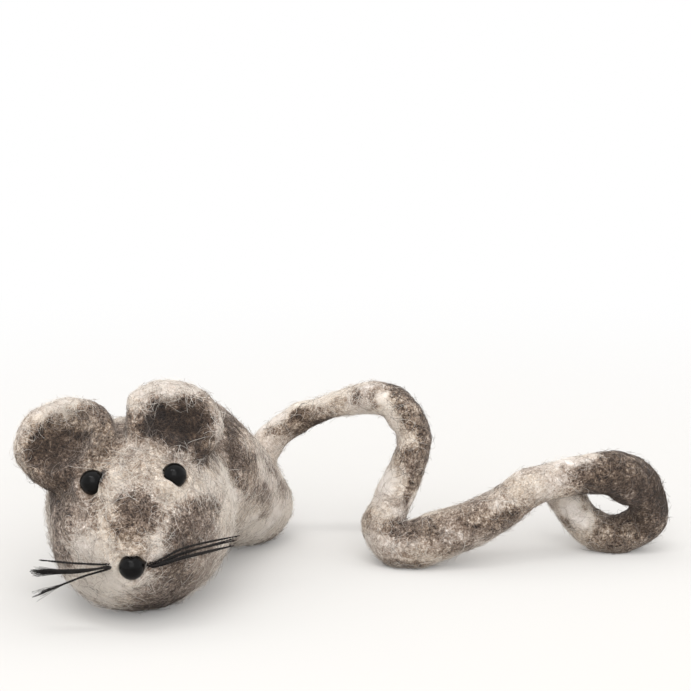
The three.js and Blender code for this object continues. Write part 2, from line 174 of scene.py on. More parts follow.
class Shader:
    """The node tree of one material or world."""

    def __init__(self, tree: bpy.types.NodeTree) -> None:
        """Empties the tree."""
        self.tree = tree
        self.tree.nodes.clear()

    def node(self, kind: str, settings: Settings = None, inputs: Inputs = None) -> bpy.types.Node:
        """Adds a node.

        Args:
            kind: The node's type.
            settings: Its settings, set first. "stops" are a ramp's places and tints.
            inputs: Its sockets' values or links.

        Returns:
            The node.
        """
        made = self.tree.nodes.new(kind)
        for key, setting in (settings or {}).items():
            if key == "stops":
                self._set_stops(made.color_ramp, setting)
            else:
                setattr(made, key, setting)
        for key, value in (inputs or {}).items():
            if isinstance(value, Value):
                self.tree.links.new(value.socket, made.inputs[key])
            else:
                made.inputs[key].default_value = value
        return made

    @staticmethod
    def _set_stops(ramp: bpy.types.ColorRamp, stops: Sequence[tuple[float, Tint]]) -> None:
        """Gives a ramp its stops, in place of the two that it starts with.

        Args:
            ramp: The ramp.
            stops: The stops' places and tints.
        """
        while len(ramp.elements) < len(stops):
            ramp.elements.new(0.5)
        for element, (place, tint) in zip(ramp.elements, stops):
            element.position = place
            element.color = tint.linear()

    def value(self, kind: str, settings: Settings = None, inputs: Inputs = None, output: int = 0) -> Value:
        """Adds a node and returns one of its outputs."""
        return Value(self, self.node(kind, settings, inputs).outputs[output])

    def surface(self, inputs: dict[str, Any]) -> None:
        """Gives the material a Principled surface with these inputs."""
        finish = self.value("ShaderNodeBsdfPrincipled", None, inputs)
        self.node("ShaderNodeOutputMaterial", None, {"Surface": finish})

    def place(self) -> Value:
        """The place on the object, in metres."""
        return self.value("ShaderNodeTexCoord", output=3)

    def math(self, operation: str, *terms: "Value | float") -> Value:
        """Adds a Math node."""
        return self.value("ShaderNodeMath", {"operation": operation}, dict(enumerate(terms)))

    def noise(self, place: Value, size: float, detail: float = 1.0, colour: bool = False) -> Value:
        """Noise with features of a given size.

        Args:
            place: The coordinates, in metres.
            size: The features' size, in metres.
            detail: How many finer layers it has.
            colour: Whether it has three parts that differ.

        Returns:
            The noise, from 0 to 1.
        """
        inputs = {"Vector": place, "Scale": 1.0 / size, "Detail": detail, "Roughness": 0.5}
        return self.value("ShaderNodeTexNoise", None, inputs, 1 if colour else 0)

    def eased(self, value: Value, low: float, high: float) -> Value:
        """A value eased from 0 at low to 1 at high."""
        inputs = {"Value": value, "From Min": low, "From Max": high}
        return self.value("ShaderNodeMapRange", {"interpolation_type": "SMOOTHSTEP"}, inputs)

    def shifted(self, place: Value, shift: Value, amount: float) -> Value:
        """A place moved by a vector noise, up to about half the amount each way.

        Args:
            place: The place.
            shift: The noise, in colour.
            amount: The length, in metres.

        Returns:
            The moved place.
        """
        inputs = {0: shift, 1: (0.5, 0.5, 0.5)}
        centred = self.value("ShaderNodeVectorMath", {"operation": "SUBTRACT"}, inputs)
        inputs = {0: centred, 1: (amount, amount, amount), 2: place}
        return self.value("ShaderNodeVectorMath", {"operation": "MULTIPLY_ADD"}, inputs)

    def mixed(self, share: Value | float, first: Any, second: Any, blend: str = "MIX") -> Value:
        """Two colours mixed."""
        settings = {"data_type": "RGBA", "blend_type": blend}
        return self.value("ShaderNodeMix", settings, {0: share, 6: first, 7: second}, 2)

    def bumped(self, height: Value, strength: float, distance: float) -> Value:
        """A normal raised by a height from 0 to 1."""
        inputs = {"Height": height, "Strength": strength, "Distance": distance}
        return self.value("ShaderNodeBump", None, inputs)


def surface_material(name: str) -> tuple[Material, Shader]:
    """A new material and its empty shader."""
    material = bpy.data.materials.new(name)
    material.use_nodes = True
    return material, Shader(material.node_tree)


@dataclass(frozen=True)
class FeltFinish:
    """Mottled wet-felted wool, whose fibres cross in fine curls."""

    name: str = "mottled_felt"
    stops: tuple[tuple[float, Tint], ...] = (
        (0.0, Tint("#1a120f")),
        (0.2, Tint("#5c4c41")),
        (0.45, Tint("#918071")),
        (0.72, Tint("#ccc0b4")),
        (1.0, Tint("#faf6f1")),
    )
    warm: Tint = Tint("#fff9f1")
    cool: Tint = Tint("#fcf8f7")
    hue_size: float = 11 * MM
    hue_range: Pair = (0.35, 0.65)
    cloud_size: float = 3.4 * MM
    cloud_share: float = 0.55
    speck_size: float = 1.3 * MM
    speck_share: float = 0.85
    grain_size: float = 0.55 * MM
    grain_share: float = 1.0
    curl_sizes: tuple[float, ...] = (1.7 * MM, 1.2 * MM, 0.85 * MM)
    curl_warp: float = 1.2 * MM
    curl_warp_share: float = 1.3
    curl_width: float = 0.035
    pale_share: float = 0.22
    dark_share: float = 0.2
    dark_apart: float = 0.37
    most_change: float = 1.15
    changed_tone: float = 0.39
    change_fall: float = 1.64
    pale_height: float = 0.6
    dark_height: float = 0.25
    speck_height: float = 0.5
    cloud_height: float = 0.4
    grain_height: float = 0.4
    bump_strength: float = 0.7
    bump_distance: float = 0.22 * MM
    roughness: float = 0.92
    specular: float = 0.2
    sheen: float = 0.22
    sheen_roughness: float = 0.6

    def material(self) -> Material:
        """Builds the material.

        Returns:
            The material.
        """
        material, shader = surface_material(self.name)
        place = shader.place()
        tone = shader.value("ShaderNodeAttribute", {"attribute_name": "tone"}, output=2)
        pale = self._curls(shader, place, 0.0)
        dark = self._curls(shader, place, self.dark_apart)
        clouds = shader.noise(place, self.cloud_size, 2.0) - 0.5
        specks = shader.noise(place, self.speck_size, 2.0) - 0.5
        grain = shader.noise(place, self.grain_size, 2.0) - 0.5
        blended = self.most_change - abs(tone - self.changed_tone) * self.change_fall
        mixed_in = specks * self.speck_share + grain * self.grain_share + clouds * self.cloud_share
        curled = pale * self.pale_share - dark * self.dark_share
        mottled = tone + (mixed_in + curled) * blended
        wool = shader.value("ShaderNodeValToRGB", {"stops": self.stops}, {0: mottled})
        hue = shader.eased(shader.noise(place, self.hue_size), *self.hue_range)
        cast = shader.mixed(hue, self.warm.linear(), self.cool.linear())
        colour = shader.mixed(1.0, wool, cast, "MULTIPLY")
        height = pale * self.pale_height + dark * self.dark_height + specks * self.speck_height
        height = height + clouds * self.cloud_height + grain * self.grain_height
        shader.surface({
            "Base Color": colour,
            "Roughness": self.roughness,
            "Specular IOR Level": self.specular,
            "Sheen Weight": self.sheen,
            "Sheen Roughness": self.sheen_roughness,
            "Normal": shader.bumped(height, self.bump_strength, self.bump_distance),
        })
        return material

    def _curls(self, shader: Shader, place: Value, apart: float) -> Value:
        """Thin curly lines, as where several noises pass through their middle.

        Args:
            shader: The shader that gets the nodes.
            place: The coordinates.
            apart: Metres by which this set lies away from another set.

        Returns:
            1 on the lines and 0 off them.
        """
        inputs = {"Vector": place, "Location": (apart, -apart, apart)}
        moved = shader.value("ShaderNodeMapping", None, inputs)
        lines: Value | None = None
        for size in self.curl_sizes:
            warp = shader.noise(moved, size * self.curl_warp_share, 0.0, True)
            curled = shader.shifted(moved, warp, self.curl_warp)
            middle = abs(shader.noise(curled, size, 0.0) - 0.5)
            line = 1.0 - shader.eased(middle, 0.0, self.curl_width)
            lines = line if lines is None else shader.math("MAXIMUM", lines, line)
        return lines


@dataclass(frozen=True)
class FibreFinish:
    """Loose wool fibres of one even colour."""

    name: str
    tint: Tint
    roughness: float = 0.75
    specular: float = 0.25
    sheen: float = 0.1

    def material(self) -> Material:
        """Builds the material.

        Returns:
            The material.
        """
        material, shader = surface_material(self.name)
        shader.surface({
            "Base Color": self.tint.linear(),
            "Roughness": self.roughness,
            "Specular IOR Level": self.specular,
            "Sheen Weight": self.sheen,
        })
        return material


@dataclass(frozen=True)
class SpeckledFinish:
    """A finish with two tints in specks and a grain that raises it."""

    name: str
    first: Tint
    second: Tint
    size: float
    roughness: float
    rough_change: float = 0.0
    grain: float = 0.4
    grain_height: float = 0.1 * MM
    specular: float = 0.5
    sheen: float = 0.0
    speck_range: Pair = (0.38, 0.62)

    def material(self) -> Material:
        """Builds the material.

        Returns:
            The material.
        """
        material, shader = surface_material(self.name)
        specks = shader.noise(shader.place(), self.size, 3.0)
        share = shader.eased(specks, *self.speck_range)
        shader.surface({
            "Base Color": shader.mixed(share, self.first.linear(), self.second.linear()),
            "Roughness": self.roughness + specks * self.rough_change,
            "Specular IOR Level": self.specular,
            "Sheen Weight": self.sheen,
            "Normal": shader.bumped(specks, self.grain, self.grain_height),
        })
        return material


GLOSS_BLACK = SpeckledFinish(
    name="gloss_black",
    first=Tint("#050505"),
    second=Tint("#0b0a0a"),
    size=1.6 * MM,
    roughness=0.12,
    rough_change=0.1,
    grain=0.05,
    grain_height=0.02 * MM,
    specular=0.15,
)

BLACK_THREAD = SpeckledFinish(
    name="black_thread",
    first=Tint("#181514"),
    second=Tint("#2a2523"),
    size=0.3 * MM,
    roughness=0.6,
    grain_height=0.05 * MM,
)

WAXED_BLACK_THREAD = SpeckledFinish(
    name="waxed_black_thread",
    first=Tint("#100d0c"),
    second=Tint("#1d1816"),
    size=0.5 * MM,
    roughness=0.5,
    grain_height=0.04 * MM,
    specular=0.25,
)

LOOSE_CREAM_WOOL = SpeckledFinish(
    name="loose_cream_wool",
    first=Tint("#c9bfb1"),
    second=Tint("#e2d9cc"),
    size=2 * MM,
    roughness=0.95,
    grain=0.8,
    grain_height=0.5 * MM,
    sheen=0.3,
)

DRIED_HERB = SpeckledFinish(
    name="dried_herb",
    first=Tint("#5e6338"),
    second=Tint("#8a8652"),
    size=1.2 * MM,
    roughness=0.95,
    grain=0.9,
    grain_height=0.5 * MM,
)


@dataclass(frozen=True)
class TableFinish:
    """A white table that keeps the shadow near the mouse and is plain white further off."""

    name: str = "white_table"
    tint: Tint = Tint("#d5d3d0")
    near: float = 0.1
    far: float = 0.5
    haze: float = 0.1
    centre: Triple = (0.06, 0.0, 0.0)

    def material(self) -> Material:
        """Builds the material.

        Returns:
            The material.
        """
        material, shader = surface_material(self.name)
        inputs = {0: shader.place(), 1: self.centre}
        distance = shader.value("ShaderNodeVectorMath", {"operation": "DISTANCE"}, inputs, 1)
        seen = shader.value("ShaderNodeLightPath", output=0)
        share = (shader.eased(distance, self.near, self.far) * (1.0 - self.haze) + self.haze) * seen
        matt = shader.value("ShaderNodeBsdfDiffuse", None, {"Color": self.tint.linear(), "Roughness": 1.0})
        white = shader.value("ShaderNodeEmission", None, {"Color": WHITE, "Strength": 1.0})
        surface = shader.value("ShaderNodeMixShader", None, {0: share, 1: matt, 2: white})
        shader.node("ShaderNodeOutputMaterial", None, {"Surface": surface})
        return material


@dataclass
class PhotoCamera:
    """The camera at the photograph's place, and the rays of its pixels."""

    place: Vector = field(default_factory=lambda: Vector((0.0, -485.1 * MM, 163.6 * MM)))
    yaw: float = 6.395
    pitch: float = 11.108
    focal: float = 100.0
    sensor: float = 36.0
    image_size: int = 691
    depths: Pair = (430 * MM, 610 * MM)
    probes: int = 60

    def build(self) -> None:
        """Makes the camera and the scene's view settings."""
        lens = bpy.data.cameras.new("camera")
        lens.lens = self.focal
        lens.sensor_width = self.sensor
        lens.clip_start = 0.01
        lens.clip_end = 50.0
        camera = linked("camera", lens)
        camera.location = self.place
        camera.rotation_euler = (math.radians(90.0 - self.pitch), 0.0, -math.radians(self.yaw))
        bpy.context.scene.camera = camera
        bpy.context.scene.view_settings.view_transform = "Standard"

    def axes(self) -> tuple[Vector, Vector, Vector]:
        """The view's right, up and forward directions.

        Returns:
            The three unit vectors.
        """
        turn, dip = math.radians(self.yaw), math.radians(self.pitch)
        forward = Vector((math.sin(turn) * math.cos(dip), math.cos(turn) * math.cos(dip), -math.sin(dip)))
        right = forward.cross(UP).normalized()
        return right, right.cross(forward), forward

    def ray(self, across: float, down: float) -> Vector:
        """The direction in which a pixel of the photograph looks.

        Args:
            across: The pixel's place from the left.
            down: Its place from the top.

        Returns:
            The unit vector.
        """
        right, up, forward = self.axes()
        pixel = self.sensor / self.focal / self.image_size
        middle = self.image_size / 2
        return (forward + right * (across - middle) * pixel - up * (down - middle) * pixel).normalized()

    def pixel_at(self, distance: float) -> float:
        """The length that one pixel spans at a distance."""
        return distance * self.sensor / self.focal / self.image_size

    def placed(self, tree: BVHTree, across: float, down: float) -> tuple[Vector, float]:
        """Where a pixel of the photograph meets a surface.

        Args:
            tree: The surface.
            across: The pixel's place from the left.
            down: The pixel's place from the top.

        Returns:
            The point, and the length that one pixel spans there.
        """
        ray = self.ray(across, down)
        hit, _, _, distance = tree.ray_cast(self.place, ray)
        if hit is None:
            near, far = self.depths
            step = (far - near) / self.probes
            along = [self.place + ray * (near + step * number) for number in range(self.probes + 1)]
            hit = min((tree.find_nearest(spot) for spot in along), key=lambda found: found[3])[0]
            distance = (hit - self.place).length
        return hit, self.pixel_at(distance)


@dataclass
class Studio:
    """A white table in a bright room, with soft lights in front and above, and a slim one for the beads."""

    table_span: float = 30.0
    sky: float = 1.15
    aim: Triple = (40 * MM, 0.0, 20 * MM)
    table_finish: TableFinish = field(default_factory=TableFinish)

    def build(self) -> None:
        """Makes the table, the lamps and the world."""
        bm = bmesh.new()
        bmesh.ops.create_grid(bm, x_segments=1, y_segments=1, size=self.table_span / 2)
        table = object_from(bm, "table")
        table.data.materials.append(self.table_finish.material())
        self._softbox("key_light", place=(0.0, -1.1, 0.8), size=(0.9, 0.9), power=4.2)
        self._softbox("glint_light", place=(-0.15, -0.5, 1.1), size=(0.7, 0.1), power=2.6)
        self._softbox("top_light", place=(0.1, 0.2, 1.1), size=(1.1, 1.1), power=0.9)
        world = bpy.data.worlds.new("sky")
        world.use_nodes = True
        shader = Shader(world.node_tree)
        seen = shader.value("ShaderNodeLightPath", output=0)
        strength = seen * (1.0 - self.sky) + self.sky
        light = shader.value("ShaderNodeBackground", None, {"Color": WHITE, "Strength": strength})
        shader.node("ShaderNodeOutputWorld", None, {"Surface": light})
        bpy.context.scene.world = world

    def _softbox(self, name: str, place: Triple, size: Pair, power: float) -> None:
        """Makes one lamp, of a width and a height, that faces the mouse.

        Args:
            name: Its name.
            place: Its place.
            size: Its width and height.
            power: Its power, in watts.
        """
        lamp = bpy.data.lights.new(name, "AREA")
        lamp.shape = "RECTANGLE"
        lamp.size, lamp.size_y = size
        lamp.energy = power
        holder = linked(name, lamp)
        holder.location = place
        holder.rotation_euler = (Vector(self.aim) - Vector(place)).to_track_quat("-Z", "Y").to_euler()


def linked(name: str, data: bpy.types.ID) -> Object:
    """A new object in the scene, at the origin."""
    obj = bpy.data.objects.new(name, data)
    bpy.context.scene.collection.objects.link(obj)
    return obj


def object_from(bm: BMesh, name: str) -> Object:
    """A smooth-shaded object that holds a bmesh, which it frees.

    Args:
        bm: The bmesh.
        name: The object's name.

    Returns:
        The object.
    """
    for face in bm.faces:
        face.smooth = True
    mesh = bpy.data.meshes.new(name)
    bm.to_mesh(mesh)
    bm.free()
    return linked(name, mesh)


def drawn_mesh(obj: Object) -> Mesh:
    """A new mesh of what an object draws, with its modifiers or its curve's bevel.

    Args:
        obj: The object.

    Returns:
        The mesh.
    """
    bpy.context.view_layer.update()
    graph = bpy.context.evaluated_depsgraph_get()
    return bpy.data.meshes.new_from_object(obj.evaluated_get(graph))


def set_in_mesh(obj: Object) -> None:
    """Turns an object's modifiers into plain mesh data under the same name.

    Args:
        obj: The object.
    """
    name = obj.name
    mesh = drawn_mesh(obj)
    mesh.name = name
    obj.modifiers.clear()
    obj.data = mesh


def wool_piece(bm: BMesh, name: str, felt: Material, node: str) -> Object:
    """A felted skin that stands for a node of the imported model, from a bmesh that it frees.

    Args:
        bm: The skin.
        name: The piece's name.
        felt: Its material.
        node: The node.

    Returns:
        The piece.
    """
    piece = object_from(bm, name)
    piece.data.materials.append(felt)
    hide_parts(node)
    LOG.info("%s: %s faces", piece.name, len(piece.data.polygons))
    return piece


def fix_to_mouse(piece: Object, node: str) -> None:
    """Lets a piece stand for a node and move with the mouse, and reports it.

    Args:
        piece: The piece.
        node: The node.
    """
    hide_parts(node)
    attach(piece, Body.MOUSE.value)
    LOG.info("%s", piece.name)


def places_of(mesh: Mesh) -> np.ndarray:
    """The vertices' places, one row each."""
    places = np.empty(len(mesh.vertices) * 3)
    mesh.vertices.foreach_get("co", places)
    return places.reshape(-1, 3)


def set_places(mesh: Mesh, places: np.ndarray) -> None:
    """Moves the vertices to new places."""
    mesh.vertices.foreach_set("co", places.ravel())
    mesh.update()


def normals_of(mesh: Mesh) -> np.ndarray:
    """The vertices' outward directions, one row each."""
    normals = np.empty(len(mesh.vertices) * 3)
    mesh.vertex_normals.foreach_get("vector", normals)
    return normals.reshape(-1, 3)


def nearness_to(middle: Vector, places: np.ndarray, spread: float) -> np.ndarray:
    """How near each place is to a middle: 1 there, and less by a bell curve, one row each."""
    apart = np.linalg.norm(places - np.array(middle), axis=1)
    return np.exp(-((apart / spread) ** 2))[:, None]


def tree_of(obj: Object) -> BVHTree:
    """A search tree of an object's faces."""
    bpy.context.view_layer.update()
    return BVHTree.FromObject(obj, bpy.context.evaluated_depsgraph_get())


def voxel_skin(bm: BMesh, name: str, voxel: float) -> Object:
    """The outer surface of forms that run into each other, as one even mesh.

    Args:
        bm: The forms, each closed.
        name: The object's name.
        voxel: The new faces' size.

    Returns:
        The object.
    """
    obj = object_from(bm, name)
    remesh = obj.modifiers.new("felting", "REMESH")
    remesh.mode = "VOXEL"
    remesh.voxel_size = voxel
    remesh.use_smooth_shade = True
    set_in_mesh(obj)
    return obj


def toned_and_felted(whole: Object, coat: "Coat", felt: Material) -> None:
    """Lays a finished skin on the table and gives it its tones and its felt.

    Args:
        whole: The skin.
        coat: Its tones.
        felt: Its material.
    """
    laid_on_table(whole)
    coat.paint_tones(whole)
    whole.data.materials.clear()
    whole.data.materials.append(felt)


def eased_where(obj: Object, weights: np.ndarray, rounds: int) -> None:
    """Smooths a mesh where its weights say, as felting rounds off a joint.

    Args:
        obj: The object.
        weights: From 0 to 1 for each vertex.
        rounds: How often the smoothing is repeated.
    """
    group = obj.vertex_groups.new(name="eased")
    steps = 20
    levels = np.rint(weights * steps).astype(int)
    for level in range(1, steps + 1):
        chosen = np.nonzero(levels == level)[0].tolist()
        if chosen:
            group.add(chosen, level / steps, "REPLACE")
    smooth = obj.modifiers.new("eased", "SMOOTH")
    smooth.factor = 0.5
    smooth.iterations = rounds
    smooth.vertex_group = group.name
    set_in_mesh(obj)
    obj.vertex_groups.clear()


@dataclass(frozen=True)
class Lumps:
    """The unevenness of hand-felted wool, as noises of falling size."""

    sizes: tuple[float, ...] = (10 * MM, 4.2 * MM, 1.7 * MM)
    heights: tuple[float, ...] = (0.5 * MM, 0.3 * MM, 0.12 * MM)

    def raise_on(self, obj: Object) -> None:
        """Moves a mesh's vertices along their normals.

        Args:
            obj: The object.
        """
        places, normals = places_of(obj.data), normals_of(obj.data)
        heights = np.zeros(len(places))
        for size, height in zip(self.sizes, self.heights):
            heights += [height * noise.noise(Vector(place) / size) for place in places]
        set_places(obj.data, places + normals * heights[:, None])


def laid_on_table(obj: Object) -> None:
    """Flattens what would sink into the table."""
    places = places_of(obj.data)
    places[:, 2] = np.maximum(places[:, 2], 0.0)
    set_places(obj.data, places)


def part_beyond(bm: BMesh, point: Vector, normal: Vector, within: Vector) -> BMesh:
    """Cuts off the part of a closed mesh that lies beyond a plane, and closes both.

    Args:
        bm: The mesh, which loses the part.
        point: A point of the plane.
        normal: The plane's direction, towards the part.
        within: A point near the part, which tells it from others beyond the plane.

    Returns:
        The part.
    """
    everything = bm.verts[:] + bm.edges[:] + bm.faces[:]
    cut = bmesh.ops.bisect_plane(bm, geom=everything, dist=1e-8, plane_co=point, plane_no=normal)
    seam = {edge for edge in cut["geom_cut"] if isinstance(edge, BMEdge)}
    beyond = [face for face in bm.faces if (face.calc_center_median() - point).dot(normal) > 0]
    first = min(beyond, key=lambda face: (face.calc_center_median() - within).length_squared)
    found, waiting = {first}, [first]
    while waiting:
        for edge in waiting.pop().edges:
            fresh = [] if edge in seam else [face for face in edge.link_faces if face not in found]
            found.update(fresh)
            waiting.extend(fresh)
    bm.faces.index_update()
    chosen = {face.index for face in found}
    part = bm.copy()
    bmesh.ops.delete(bm, geom=list(found), context="FACES")
    bmesh.ops.delete(part, geom=[face for face in part.faces if face.index not in chosen], context="FACES")
    for half in (bm, part):
        rim = [edge for edge in half.edges if edge.is_boundary]
        for edge in rim:
            edge.smooth = False
        filled = bmesh.ops.holes_fill(half, edges=rim, sides=0)
        bmesh.ops.triangulate(half, faces=filled["faces"])
    return part


class Route:
    """A centripetal Catmull-Rom curve through given points."""

    def __init__(self, points: Sequence[Vector], samples: int = 600) -> None:
        """Keeps the points, and measures the curve in small steps.

        Args:
            points: The points.
            samples: The number of steps.
        """
        self.points = [Vector(point) for point in points]
        self.places = [i / samples for i in range(samples + 1)]
        spots = [self.at(place) for place in self.places]
        self.lengths = [0.0]
        for before, after in zip(spots, spots[1:]):
            self.lengths.append(self.lengths[-1] + (after - before).length)
        self.length = self.lengths[-1]

    def at(self, place: float) -> Vector:
        """The point at a place from 0 to 1, with the route's points evenly apart in it.

        Args:
            place: The place.

        Returns:
            The point.
        """
        last = len(self.points) - 1
        index = min(int(place * last), last - 1)
        share = place * last - index
        here, ahead = self.points[index], self.points[index + 1]
        before = self.points[index - 1] if index > 0 else 2 * here - ahead
        after = self.points[index + 2] if index + 2 <= last else 2 * ahead - here
        step_in = (here - before).length ** 0.5
        step = (ahead - here).length ** 0.5
        step_out = (after - ahead).length ** 0.5
        leave = (here - before) / step_in - (ahead - before) / (step_in + step) + (ahead - here) / step
        arrive = (ahead - here) / step - (after - here) / (step + step_out) + (after - ahead) / step_out
        leave, arrive = leave * step, arrive * step
        square = 3 * (ahead - here) - 2 * leave - arrive
        cube = 2 * (here - ahead) + leave + arrive
        return here + leave * share + square * share**2 + cube * share**3

    def place_along(self, share: float) -> float:
        """The place at a share of the length."""
        return float(np.interp(share * self.length, self.lengths, self.places))

    def along(self, share: float) -> Vector:
        """The point at a share of the length."""
        return self.at(self.place_along(share))

    def tangent(self, place: float, step: float = 1e-4) -> Vector:
        """The direction at a place from 0 to 1."""
        return (self.at(min(place + step, 1.0)) - self.at(max(place - step, 0.0))).normalized()


def carried_frames(points: Sequence[Vector]) -> list[Matrix]:
    """Frames along a line of points, each turned no more than the line turns.

    Args:
        points: The line's points.

    Returns:
        A matrix for each point, whose Z runs along the line.
    """
    frames = []
    heading = (points[1] - points[0]).normalized()
    side = heading.orthogonal().normalized()
    for index, point in enumerate(points):
        before, after = points[max(index - 1, 0)], points[min(index + 1, len(points) - 1)]
        ahead = (after - before).normalized()
        side.rotate(heading.rotation_difference(ahead))
        side = (side - ahead * side.dot(ahead)).normalized()
        heading = ahead
        turned = Matrix((side, ahead.cross(side), ahead)).transposed()
        frames.append(Matrix.Translation(point) @ turned.to_4x4())
    return frames


def rope_form(bm: BMesh, points: Sequence[Vector], radii: Sequence[float], sides: int) -> None:
    """Adds a closed rope, as a ring that is drawn along a line of points.

    Args:
        bm: The bmesh that gets it.
        points: The line's points.
        radii: The rope's radius at each point.
        sides: The ring's sides.
    """
    places = [turn @ Matrix.Scale(radius, 4) for turn, radius in zip(carried_frames(points), radii)]
    circle = bmesh.ops.create_circle(bm, cap_ends=True, segments=sides, radius=1.0, matrix=places[0])
    ring = list({edge for vert in circle["verts"] for edge in vert.link_edges})
    for before, after in zip(places, places[1:]):
        drawn = bmesh.ops.extrude_edge_only(bm, edges=ring)["geom"]
        ring = [item for item in drawn if isinstance(item, BMEdge)]
        corners = [item for item in drawn if isinstance(item, BMVert)]
        bmesh.ops.transform(bm, matrix=after @ before.inverted(), verts=corners)
    bmesh.ops.edgeloop_fill(bm, edges=ring)
    bmesh.ops.recalc_face_normals(bm, faces=bm.faces)


def ball_form(bm: BMesh, centre: Vector = ORIGIN, radius: float = 1.0, detail: int = 4) -> list[BMVert]:
    """Adds a ball of triangles, and returns its vertices."""
    matrix = Matrix.Translation(centre)
    return bmesh.ops.create_icosphere(bm, subdivisions=detail, radius=radius, matrix=matrix)["verts"]


def joined_in(bm: BMesh, other: BMesh, inside_out: bool = False) -> None:
    """Adds another bmesh, which it frees.

    Args:
        bm: The bmesh that gets the other.
        other: The other.
        inside_out: Whether the other walls a hollow.
    """
    if inside_out:
        bmesh.ops.reverse_faces(other, faces=other.faces)
    mesh = bpy.data.meshes.new("joined")
    other.to_mesh(mesh)
    other.free()
    bm.from_mesh(mesh)
    bpy.data.meshes.remove(mesh)


@dataclass(frozen=True)
class Mottle:
    """A patch of wool of one tone, at the pixel where the photograph shows it.

    Its wide and high are half its width and half its height, in pixels.
    """

    x: float
    y: float
    wide: float
    high: float
    tone: float
    tilt: float = 0.0


@dataclass
class Coat:
    """The tone of the wool all over a skin, from 0, dark, to 1, cream, with painted shade in a few of its
    mottles.
    """

    camera: PhotoCamera
    mottles: tuple[Mottle, ...]
    ground: float = 0.56
    patch_size: float = 15 * MM
    patch_change: float = 0.6
    depth: float = 5 * MM
    ragged_sizes: tuple[float, ...] = (5 * MM, 1.8 * MM)
    ragged_shares: tuple[float, ...] = (1.0, 0.6)
    ragged_most: float = 3 * MM
    ragged_part: float = 0.8
    ragged_seed: int = 11
    patch_shift: Vector = field(default_factory=lambda: UP * 7.3)
    depth_share: float = 1.2
    edge: Pair = (0.45, 1.4)

    def paint_tones(self, obj: Object) -> None:
        """Writes each vertex's tone, painted shade included where a mottle holds it, in the attribute that
        the felt's shader reads.

        Args:
            obj: The skin.
        """
        tree = tree_of(obj)
        places = places_of(obj.data)
        spots = [Vector(place) for place in places]
        patches = np.array([noise.noise(spot / self.patch_size + self.patch_shift) for spot in spots])
        tones = self.ground + self.patch_change * patches
        noise.seed_set(self.ragged_seed)
        ragged = sum(
            share * np.array([noise.noise_vector(spot / size) for spot in spots])
            for size, share in zip(self.ragged_sizes, self.ragged_shares)
        )
        right, up, forward = (np.array(axis) for axis in self.camera.axes())
        for mottle in self.mottles:
            centre, pixel = self.camera.placed(tree, mottle.x, mottle.y)
            reach = min(self.ragged_most, min(mottle.wide, mottle.high) * pixel * self.ragged_part)
            offset = places + ragged * reach - np.array(centre)
            turn = math.radians(mottle.tilt)
            aside, above, behind = offset @ right, offset @ up, offset @ forward
            wide = (aside * math.cos(turn) + above * math.sin(turn)) / (mottle.wide * pixel)
            high = (above * math.cos(turn) - aside * math.sin(turn)) / (mottle.high * pixel)
            deep = behind / (max(mottle.wide, mottle.high) * pixel * self.depth_share + self.depth)
            share = 1.0 - smooth_step(*self.edge, np.sqrt(wide**2 + high**2 + deep**2))
            tones += (mottle.tone - tones) * share
        tone = obj.data.attributes.new("tone", "FLOAT", "POINT")
        tone.data.foreach_set("value", np.clip(tones, 0.0, 1.0).astype(np.float32))


@dataclass(frozen=True)
class Swell:
    """A place where the wool is thicker than its plain form, or thinner if the height is negative."""

    x: float
    y: float
    spread: float
    height: float

    def raise_on(self, obj: Object, camera: PhotoCamera) -> None:
        """Moves the skin round the swell's pixel along its normals.

        Args:
            obj: The skin.
            camera: The photograph's camera.
        """
        centre, _ = camera.placed(tree_of(obj), self.x, self.y)
        places, normals = places_of(obj.data), normals_of(obj.data)
        lifts = self.height * nearness_to(centre, places, self.spread)
        set_places(obj.data, places + normals * lifts)


class FibreTone(Enum):
    """The three colours of loose fibre."""

    DARK = ("dark", 0.12, 0.004, Tint("#4a3d34"))
    GREY = ("grey", 0.55, 0.25, Tint("#a4978d"))
    CREAM = ("cream", 0.9, 0.005, Tint("#f0e9e0"))

    def __init__(self, word: str, nearest: float, strays: float, tint: Tint) -> None:
        """Keeps its word, the coat's tone that it is nearest to, its share elsewhere and its tint.

        Args:
            word: Its name.
            nearest: The coat's tone that it is nearest to.
            strays: Its share elsewhere.
            tint: Its colour.
        """
        self.word = word
        self.nearest = nearest
        self.strays = strays
        self.tint = tint


FibreMaterials = dict[FibreTone, Material]


